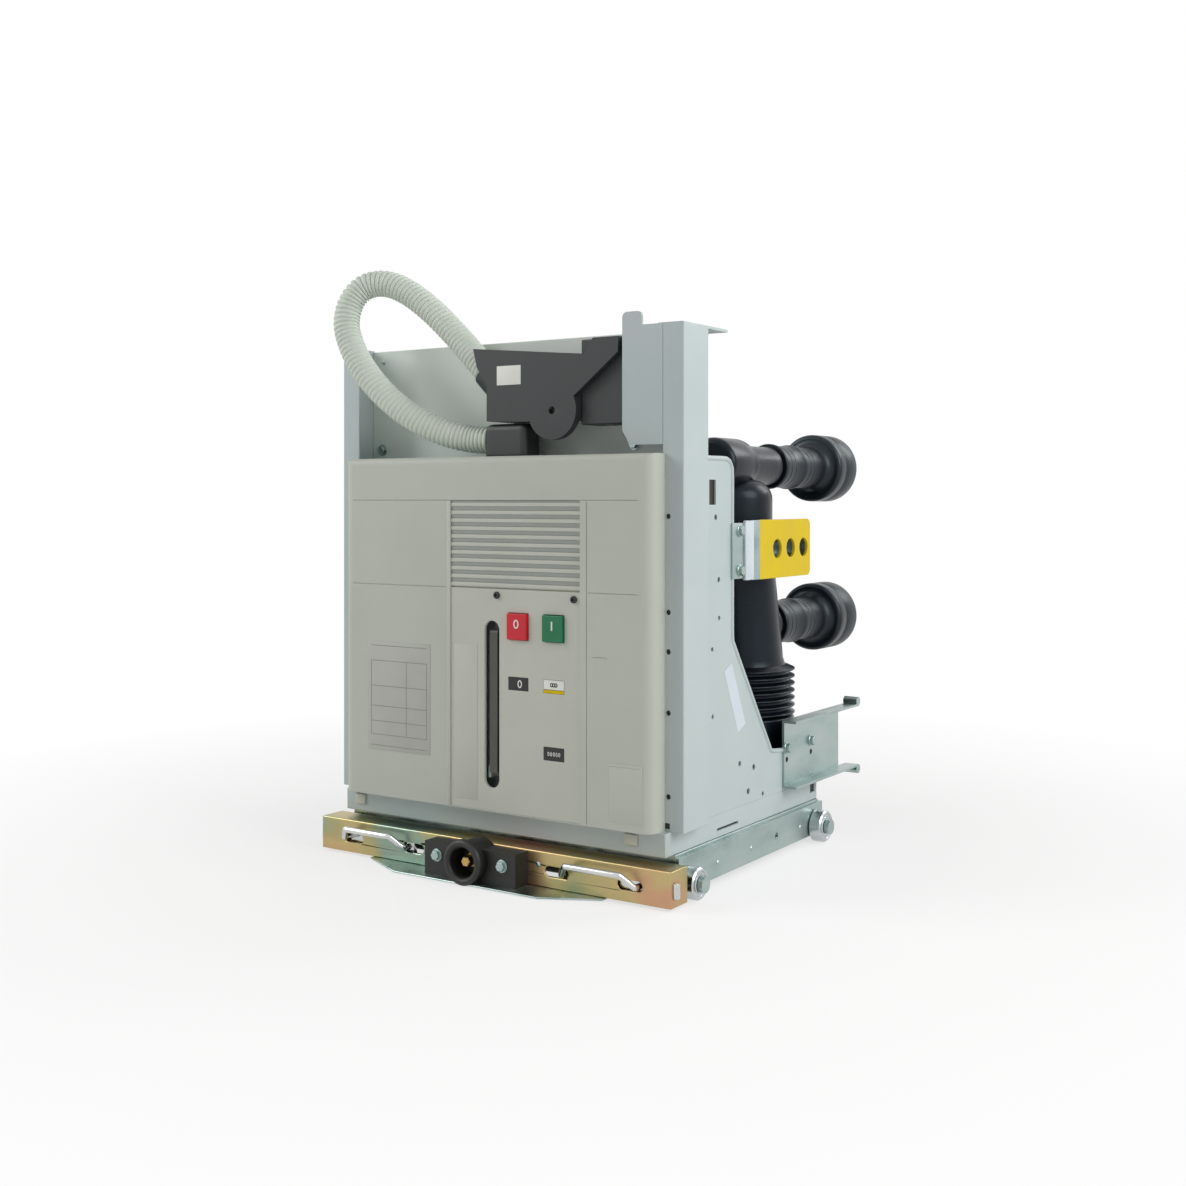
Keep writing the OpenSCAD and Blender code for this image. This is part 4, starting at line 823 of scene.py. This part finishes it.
# %% Lifting plates
FOLD_Y, PAINT_Y, PLATE_END_Y, PLATE_CORNER = (189.0, 210.0), 225.0, 362.0, 8.0
PLATE_LOW, PLATE_HIGH = 334.0, 404.0
LIFT_HOLES, LIFT_HOLE_R = (271.0, 307.0, 343.0), 11.5
WALL_X, LIFT_T, BUSH_LONG = 227.0, 4.0, 14.0


def cut_sheet(name, outline, holes, x, soften, material):
    """A flat piece cut from sheet, its outline and holes drawn in Y and Z, its faces at two places in X."""
    drawing = bpy.data.curves.new(name, "CURVE")
    drawing.dimensions = "2D"
    drawing.fill_mode = "BOTH"
    drawing.extrude = (x[1] - x[0]) / 2000 - soften / 1000
    drawing.bevel_depth = soften / 1000
    drawing.bevel_resolution = 1
    drawing.offset = -soften / 1000
    for loop in [outline] + holes:
        line = drawing.splines.new("POLY")
        line.points.add(len(loop) - 1)
        for point, (y, z) in zip(line.points, loop):
            point.co = (y / 1000, z / 1000, 0.0, 1.0)
        line.use_cyclic_u = True
    flat = linked(name + "_drawing", drawing)
    mesh = applied(flat)
    bpy.data.objects.remove(flat)
    mesh.materials.clear()
    upright = Matrix(((0, 0, 1), (1, 0, 0), (0, 1, 0))).to_4x4()
    mesh.transform(Matrix.Translation(at((x[0] + x[1]) / 2, 0, 0)) @ upright)
    shape = bmesh.new()
    shape.from_mesh(mesh)
    bpy.data.meshes.remove(mesh)
    return closed(name, shape, material, smooth=20)


rear = PLATE_END_Y - PLATE_CORNER
paint_outline = [(PAINT_Y, PLATE_LOW)] + arc((rear, PLATE_LOW + PLATE_CORNER), PLATE_CORNER, -90, 0)
paint_outline += arc((rear, PLATE_HIGH - PLATE_CORNER), PLATE_CORNER, 0, 90) + [(PAINT_Y, PLATE_HIGH)]
lift_holes = [arc((y, (PLATE_LOW + PLATE_HIGH) / 2), LIFT_HOLE_R, 0, -345, 23) for y in LIFT_HOLES]
slope = Vector((33, -73)).normalized()
across = Vector((slope.y, -slope.x))
middle = Vector((170, 201))
film_corners = ((-40, 10), (40, 10), (40, -10), (-40, -10))
film_outline = [tuple(middle + slope * a + across * b) for a, b in film_corners]
for name, s in SIDES:
    node = "lifting_plate_" + name
    painted = cut_sheet(node + "_painted", paint_outline, lift_holes,
                        outward(s, WALL_X, WALL_X + LIFT_T), 0.6, yellow_film)
    hand_over(painted, "breaker", slot_of[node], node)
    bare = bmesh.new()
    rounded_box(bare, outward(s, WALL_X, WALL_X + 2.5), (160, FOLD_Y[0] + 3), (337, 401), 0.6)
    rounded_box(bare, outward(s, WALL_X, WALL_X + LIFT_T), (FOLD_Y[1] - 3, PAINT_Y + 0.5),
                (PLATE_LOW + 0.2, PLATE_HIGH - 0.2), 0.6)
    piece(node + "_bare", bare, zinc, "breaker", "zinc_steel")
    bushes = bmesh.new()
    bush = [(LIFT_HOLE_R, 0), (LIFT_HOLE_R + 3, 0), (LIFT_HOLE_R + 3, BUSH_LONG), (LIFT_HOLE_R, BUSH_LONG),
            (LIFT_HOLE_R, 0)]
    for y in LIFT_HOLES:
        inner = WALL_X + 0.5 - BUSH_LONG if s > 0 else -WALL_X - 0.5
        turn(bushes, bush, at(inner, y, (PLATE_LOW + PLATE_HIGH) / 2), ALONG_X, 36)
    piece(node + "_bushes", bushes, zinc, "breaker", "zinc_steel")
    # A raised strip stands for the fold; its white is a painted highlight where the fold faces the light.
    fold_highlight = bmesh.new()
    rounded_box(fold_highlight, outward(s, WALL_X, WALL_X + 4.4), FOLD_Y, (334.5, 403.5), 1.4)
    piece(node + "_fold", fold_highlight, white_film_and_highlight, "breaker", "painted_steel")
    film = cut_sheet("wall_film_" + name, film_outline, [], outward(s, WALL_X - 0.2, WALL_X + 0.3),
                     0.1, white_film_and_highlight)
    hand_over(film, "breaker", "painted_steel")
print("lifting plates painted from", PAINT_Y, "mm back")

# %% [markdown]
# Screws, bolts and rivets hold all this together. Three models are spun from short profiles, and the tree
# sets them where the sheets are fastened: each place is a point and the way that the head faces. Linked
# copies would look the same, but the tree leaves one mesh for each group.

# %% Fasteners
FRONT, REAR, RIGHT, LEFT = Vector((0, -1, 0)), Vector((0, 1, 0)), Vector((1, 0, 0)), Vector((-1, 0, 0))


def spun_model(name, *profiles):
    """A model piece of (profile, segments) spun about the upright axis; six segments give a hexagon."""
    shape = bmesh.new()
    for profile, segments in profiles:
        turn(shape, profile, Vector(), segments=segments)
    return model_piece(name, shape)


recessed = [(0, 1.0), (1.7, 1.0), (1.7, 2.6), (3.3, 2.6), (4.0, 1.9), (4.0, -0.4), (0, -0.4)]
washer = [(0, -0.4), (7.2, -0.4), (7.2, 0.9), (6.8, 1.3), (0, 1.3)]
hexagon = [(0, 0.9), (5.6, 0.9), (5.6, 4.6), (4.9, 5.3), (0, 5.3)]
dome = [(0, 1.3), (1.2, 1.2), (2.2, 0.8), (2.8, 0.1), (2.8, -0.4), (0, -0.4)]
socket_screw = spun_model("socket_screw_model", (recessed, 20))
hex_bolt = spun_model("hex_bolt_model", (washer, 24), (hexagon, 6))
rivet = spun_model("rivet_model", (dome, 16))

both = ((1, RIGHT), (-1, LEFT))
panel_screws = [(at(x, PANEL_Y, z), FRONT) for x, z in ((15, 320), (120, 319))]
plate_screws = [(at(x, 163.6, z), REAR) for x in (-180, 0, 180) for z in (310, 445)]
rail_bolts = [(at(s * 230, y, 126), facing) for s, facing in both for y in RAIL_HOLES]
lift_bolts = [(at(s * 229.5, 178, z), facing) for s, facing in both for z in (346, 392)]
sheet_bolts = [(at(x, 77, 490), FRONT) for x in (-224, 150)]
drive_bolts = [(at(x, -31, SCREW_Z), FRONT) for x in (-46, 46)]
drive_rivets = [(at(x, -7, 27), FRONT) for x in (-76, 78)]
sheet_rivets = [(at(x, 77, z), FRONT) for x in (-222, 222) for z in (550, 600)]
deck_rivets = [(at(s * 232.5, y, 24), facing) for s, facing in both for y in (120, 200, 330)]
copies("panel_screws", socket_screw, black_plastic, "breaker", "dark_plastic", panel_screws)
copies("access_plate_screws", socket_screw, zinc, "breaker", "zinc_steel", plate_screws)
copies("frame_bolts", hex_bolt, zinc, "breaker", "zinc_steel", rail_bolts + lift_bolts + sheet_bolts)
copies("drive_bolts", hex_bolt, zinc, "crosspiece", "zinc_steel", drive_bolts)
copies("drive_rivets", rivet, zinc, "crosspiece", "zinc_steel", drive_rivets)
copies("frame_rivets", rivet, zinc, "breaker", "zinc_steel", sheet_rivets + deck_rivets)
for model in (finger, socket_screw, hex_bolt, rivet):
    bpy.data.objects.remove(model)
print("fastened")

# %% [markdown]
# Holes in painted sheet look dark because little light gets in. The holes are cut through the sheet, and a
# black disc or box at the bottom of each is painted shade for the hollow behind it. The racking socket has
# a turned rim, and a rolled edge runs round each side wall, swept with the rod's tree.

# %% Painted shade in holes, socket rim and rolled edges


def disc(shape, radius, centre, axis):
    """Adds a thin round plate that fills a hole, for painted shade."""
    turn(shape, [(0, 0), (radius, 0), (radius, 0.3), (0, 0.3)], centre, axis, 20)


# Black discs and boxes of painted shade at the bottom of the holes and slots.
hole_shade = bmesh.new()
for s in (1, -1):
    for y, z, r in WALL_HOLES:
        disc(hole_shade, r - 0.05, at(s * 224.6, y, z), ALONG_X)
    box(hole_shade, outward(s, 224.5, 224.9), *WALL_SLOT)
    box(hole_shade, outward(s, 220.5, 226), (25.7, 26.2), (78, 84))
    for y, z in BASE_SLOTS:
        box(hole_shade, outward(s, 224.2, 224.6), y, z)
    for y in RAIL_HOLES:
        disc(hole_shade, RAIL_HOLE_R - 0.1, at(s * 227.2, y, RAIL_HOLE_Z), ALONG_X)
    for z in FLANGE_HOLES:
        disc(hole_shade, FLANGE_HOLE_R - 0.05, at(s * FLANGE_X, 28.2, z), ALONG_Y)
disc(hole_shade, PIVOT_R - 0.1, at(PIVOT_X, 33.4, PIVOT_Z), ALONG_Y)
piece("hole_bottoms", hole_shade, black_plastic, "breaker", "dark_plastic")

rim = bmesh.new()
turn(rim, [(17.2, 1), (17.2, -7)] + arc((21.4, -6), 4.2, 180, 360, 8) + [(25.6, -2), (24, 1), (17.2, 1)],
     at(0, -36, SCREW_Z), ALONG_Y, 64)
piece("racking_socket_rim", rim, black_plastic, "crosspiece", "drive_plastic")

EDGE_R = 2.8
edge_path = [(82, 474), (110, 474), (146, 474), (156, 472), (162, 466), (164, 456), (164, 400), (164, 330),
             (164, 278), (165, 268), (168, 262), (200, 216), (232, 170), (256, 136), (261, 129), (268, 126.6),
             (300, 123)]
for name, s in SIDES:
    points = [at(s * 226, y, z) for y, z in edge_path]
    hand_over(swept(f"wall_edge_{name}", points, EDGE_R, frame_coat), "breaker", "painted_steel")
print("holes:", 2 * (len(WALL_HOLES) + len(FLANGE_HOLES) + len(RAIL_HOLES)))

# %% [markdown]
# The light is a soft studio: a broad lamp far on the left grazes the front, one on the right lights the
# side, a third edges the dark poles from behind, and the world fills in. The paper floor keeps the shadow
# near the machine and fades to plain white further out.

# %% Stage


def lamp(name, place, target, size, power):
    """A square area lamp that looks at a target."""
    data = bpy.data.lights.new(name, "AREA")
    data.size = size
    data.energy = power
    obj = linked(name, data)
    obj.location = place
    obj.rotation_euler = (Vector(target) - Vector(place)).to_track_quat("-Z", "Y").to_euler()


MIDDLE, FILL = (0.0, 0.0, 0.3), 0.26
SHADOW_ENDS, PAPER_GLOW = (0.4, 1.2), 0.65
lamp("key", (-2.3, -1.7, 1.9), MIDDLE, 1.6, 40)
lamp("side", (2.5, -0.3, 1.6), MIDDLE, 1.6, 38)
lamp("rim", (1.2, 2.0, 1.8), MIDDLE, 1.2, 18)


def seen(tree):
    """One for rays that show a thing to the camera, straight, in a reflection or through glass."""
    rays = add(tree, "ShaderNodeLightPath").outputs
    direct = add(tree, "ShaderNodeMath", {0: rays["Is Camera Ray"], 1: rays["Is Glossy Ray"]},
                 operation="MAXIMUM")
    return add(tree, "ShaderNodeMath", {0: direct.outputs[0], 1: rays["Is Transmission Ray"]},
               operation="MAXIMUM").outputs[0]


world = bpy.data.worlds.new("studio")
bpy.context.scene.world = world
world.use_nodes = True
sky = world.node_tree
background = sky.nodes["Background"]
level = add(sky, "ShaderNodeMapRange", {"Value": seen(sky), "To Min": FILL, "To Max": 1.0})
background.inputs["Color"].default_value = (1.0, 1.0, 1.0, 1.0)
sky.links.new(level.outputs["Result"], background.inputs["Strength"])

floor_coat = finish("studio_paper_matt", ["#f4f4f2", "#f7f7f5"], 400, (0.8, 0.85), 6, 0.005)
paper = floor_coat.node_tree
spot = add(paper, "ShaderNodeTexCoord").outputs["Object"]
away = add(paper, "ShaderNodeVectorMath", {0: spot}, operation="LENGTH").outputs["Value"]
blank = add(paper, "ShaderNodeMapRange", {"Value": away, "From Min": SHADOW_ENDS[0],
                                          "From Max": SHADOW_ENDS[1], "To Min": PAPER_GLOW, "To Max": 1.0})
white = add(paper, "ShaderNodeMath", {0: blank.outputs["Result"], 1: seen(paper)}, operation="MULTIPLY")
glow = add(paper, "ShaderNodeEmission")
mix = add(paper, "ShaderNodeMixShader", {0: white.outputs[0], 1: paper.nodes["Principled BSDF"].outputs[0],
                                         2: glow.outputs[0]})
paper.links.new(mix.outputs[0], paper.nodes["Material Output"].inputs["Surface"])
ground = bmesh.new()
bmesh.ops.create_grid(ground, x_segments=1, y_segments=1, size=6.0)
floor = closed("floor", ground, floor_coat)
bpy.context.scene.view_settings.view_transform = "Standard"
